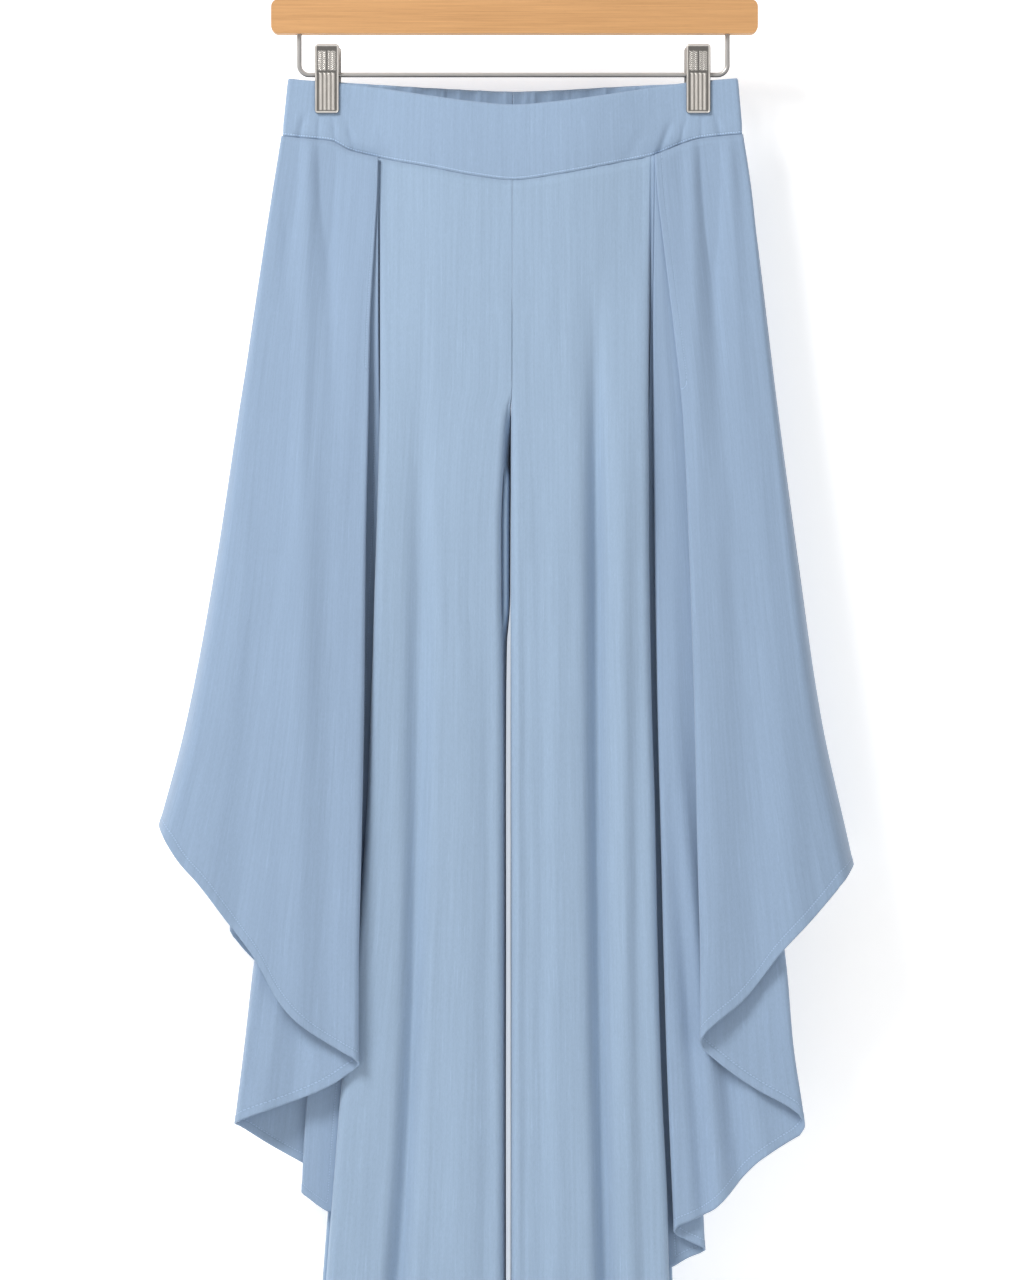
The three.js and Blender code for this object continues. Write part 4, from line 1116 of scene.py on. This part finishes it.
# A clip's jaw: a plate with a rolled rim; a front one has upright ribs below and short rows of small
# ridges above. Its outer face stands out by the sum of these, read over x and z.
def clipJaw(name, piece):
    face, facing = piece["face"], facingOf[piece["face"]]
    halfWidth, halfHeight, corner = jaw["width"] / 2, jaw["height"] / 2, jaw["corner"]
    columns, rows = piece["grid"]
    u = np.linspace(-1, 1, columns)[:, None]
    z = halfHeight * np.linspace(-1, 1, rows)[None, :]
    into = np.clip(np.abs(z) - (halfHeight - corner), 0, corner)
    x = u * (halfWidth - (corner - np.sqrt(corner ** 2 - into ** 2)))
    away = np.minimum((1 - np.abs(u)) * halfWidth, halfHeight - np.abs(z))
    relief = jaw["rim"] * np.sin(math.pi * np.clip(away / 1.9, 0, 1)) ** 0.8
    rounding = 1 - np.sqrt(np.clip(1 - (1 - np.clip(away / 0.8, 0, 1)) ** 2, 0, 1))
    relief = relief - jaw["plate"] * 0.6 * rounding
    if face == "front":
        inside = smooth(1.7, 2.4, away)
        low = smooth(-25.6, -24.2, z) * (1 - smooth(3.6, 5.0, z)) * (1 - smooth(6.0, 6.8, np.abs(x)))
        rib = np.clip(np.cos(math.pi * (np.mod(x / jaw["ribPitch"], 1) - 0.5)), 0, 1) ** 1.5
        high = smooth(6.2, 7.2, z) * (1 - smooth(21.5, 22.5, z))
        high = high * smooth(0.5, 1.0, np.abs(x)) * (1 - smooth(6.6, 7.4, np.abs(x)))
        wavy = z + 0.5 * np.sin(x * 1.9 + 1.3) + 0.3 * np.sign(x)
        ridge = 0.5 + 0.5 * np.cos(2 * math.pi * wavy / jaw["ridgePitch"])
        relief = relief + inside * (1.1 * low * rib + high * (0.08 + 0.52 * ridge))
    xAt, zAt = piece["x"] + x, barTopZ - piece["top"] - halfHeight + z + 0 * u
    outer, inner = (np.stack([xAt, facing * depth, zAt], -1)
                    for depth in (jaw["inner"] + jaw["plate"] + relief, jaw["inner"] + 0 * relief))
    vertices, faces, _ = shell(outer, inner)
    # painted shade: darker where the face stands out least, in the hollows between ribs and ridges and
    # at the rounded edge, and lighter on the rib tops and the rim
    height = np.clip((relief + 0.25) / 1.1, 0, 1)
    obj = addMesh(name, vertices, faces, paintedShadeMap(np.stack([height, height])), nickel)
    takePlace(obj, "clip_" + piece["side"] + "_" + face + "_jaw")


clipPieces = {
    "clipFrontLeft": {"face": "front", "side": "left", "x": -148.7, "top": 35.7, "grid": (97, 201)},
    "clipBackLeft": {"face": "back", "side": "left", "x": -147.4, "top": 37.4, "grid": (49, 101)},
    "clipFrontRight": {"face": "front", "side": "right", "x": 148.2, "top": 35.7, "grid": (97, 201)},
    "clipBackRight": {"face": "back", "side": "right", "x": 146.9, "top": 37.4, "grid": (49, 101)},
}
for name, piece in clipPieces.items():
    clipJaw(name, piece)

# The wooden bar and the clips' sleeves keep their solids' shape, with softened edges
for name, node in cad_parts.items():
    if name == "hanger_bar":
        material, width, segments = beech, 1.6 * mm, 4
    elif name.endswith("_sleeve"):
        material, width, segments = steel, 0.22 * mm, 3
    else:
        continue
    node.data.materials.clear()
    node.data.materials.append(material)
    bevel = node.modifiers.new("softEdges", "BEVEL")
    bevel.width = width
    bevel.segments = segments
    bevel.limit_method = "ANGLE"
    bevel.angle_limit = math.radians(40)
    for polygon in node.data.polygons:
        polygon.use_smooth = True
    smoothEdges = node.modifiers.new("keepFlats", "WEIGHTED_NORMAL")
    smoothEdges.keep_sharp = True
print("hanger ready")


# Stage: a pale floor, a pale wall close behind that shows only from the front, and soft light

stageColour = (0.90, 0.895, 0.89)


# A level-edged plane, as wide to the left as to the right, from one (y, z) to another
def stagePlane(name, half, near, far, material):
    corners = [(-half, *near), (half, *near), (half, *far), (-half, *far)]
    mesh = bpy.data.meshes.new(name)
    mesh.from_pydata(corners, [], [(0, 1, 2, 3)])
    mesh.materials.append(material)
    obj = bpy.data.objects.new(name, mesh)
    scene.collection.objects.link(obj)


def stageMaterial(name, glow):
    material, tree, bsdf = nodeTree(name)
    grain = noise(tree, objectCoords(tree), (40, 40, 40))
    paint(tree, bsdf, stageColour, ranged(tree, grain, 0.2, 0.8, 0.995, 1.0))
    bsdf.inputs["Roughness"].default_value = 0.95
    bsdf.inputs["Specular IOR Level"].default_value = 0.0
    bsdf.inputs["Emission Color"].default_value = (1, 1, 1, 1)
    bsdf.inputs["Emission Strength"].default_value = glow
    return material


# Makes a material clear when seen from behind
def oneSided(material):
    tree = material.node_tree
    either = tree.nodes.new("ShaderNodeMixShader")
    sources = (tree.nodes.new("ShaderNodeNewGeometry").outputs["Backfacing"],
               tree.nodes["Principled BSDF"].outputs[0],
               tree.nodes.new("ShaderNodeBsdfTransparent").outputs[0])
    for k, source in enumerate(sources):
        tree.links.new(source, either.inputs[k])
    tree.links.new(either.outputs[0], tree.nodes["Material Output"].inputs["Surface"])
    return material


stage = {"wallY": 0.062, "wallHalf": 0.62, "wallTop": 0.3, "floorZ": -1.225, "floorHalf": 4.0}
stagePlane("backWall", stage["wallHalf"], (stage["wallY"], stage["floorZ"]),
           (stage["wallY"], stage["wallTop"]), oneSided(stageMaterial("paleWall", 0.42)))
stagePlane("paleFloor", stage["floorHalf"], (-stage["floorHalf"], stage["floorZ"]),
           (stage["floorHalf"], stage["floorZ"]), stageMaterial("paleFloorPaint", 0.2))

lightAim = Vector((0, 0, -0.6))


def areaLight(name, place, size, power):
    data = bpy.data.lights.new(name, "AREA")
    data.shape = "SQUARE"
    data.size = size
    data.energy = power
    obj = bpy.data.objects.new(name, data)
    obj.location = place
    obj.rotation_euler = (lightAim - Vector(place)).to_track_quat("-Z", "Y").to_euler()
    scene.collection.objects.link(obj)


areaLight("keyLight", (-1.9, -2.3, 2.0), 1.2, 126)
areaLight("fillLight", (2.4, -2.6, -0.2), 2.4, 15)
areaLight("backLight", (0.6, 2.6, 0.6), 2.0, 40)
world = bpy.data.worlds.new("paleWorld")
world.use_nodes = True
world.node_tree.nodes["Background"].inputs[0].default_value = (1.0, 1.0, 1.0, 1)
world.node_tree.nodes["Background"].inputs[1].default_value = 0.26
scene.world = world
scene.view_settings.view_transform = "Standard"

# Camera: square on to the front, far away, framing what the photograph frames at 0.8 mm a pixel
cameraAway = 4.0
cameraData = bpy.data.cameras.new("camera")
cameraData.lens = 36 * cameraAway / 1.024
cameraData.clip_end = 30
camera = bpy.data.objects.new("camera", cameraData)
camera.location = (-0.0008, -cameraAway, (barTopZ - 512) * mm)
camera.rotation_euler = (math.pi / 2, 0, 0)
scene.collection.objects.link(camera)
scene.camera = camera

print("stage and camera ready")
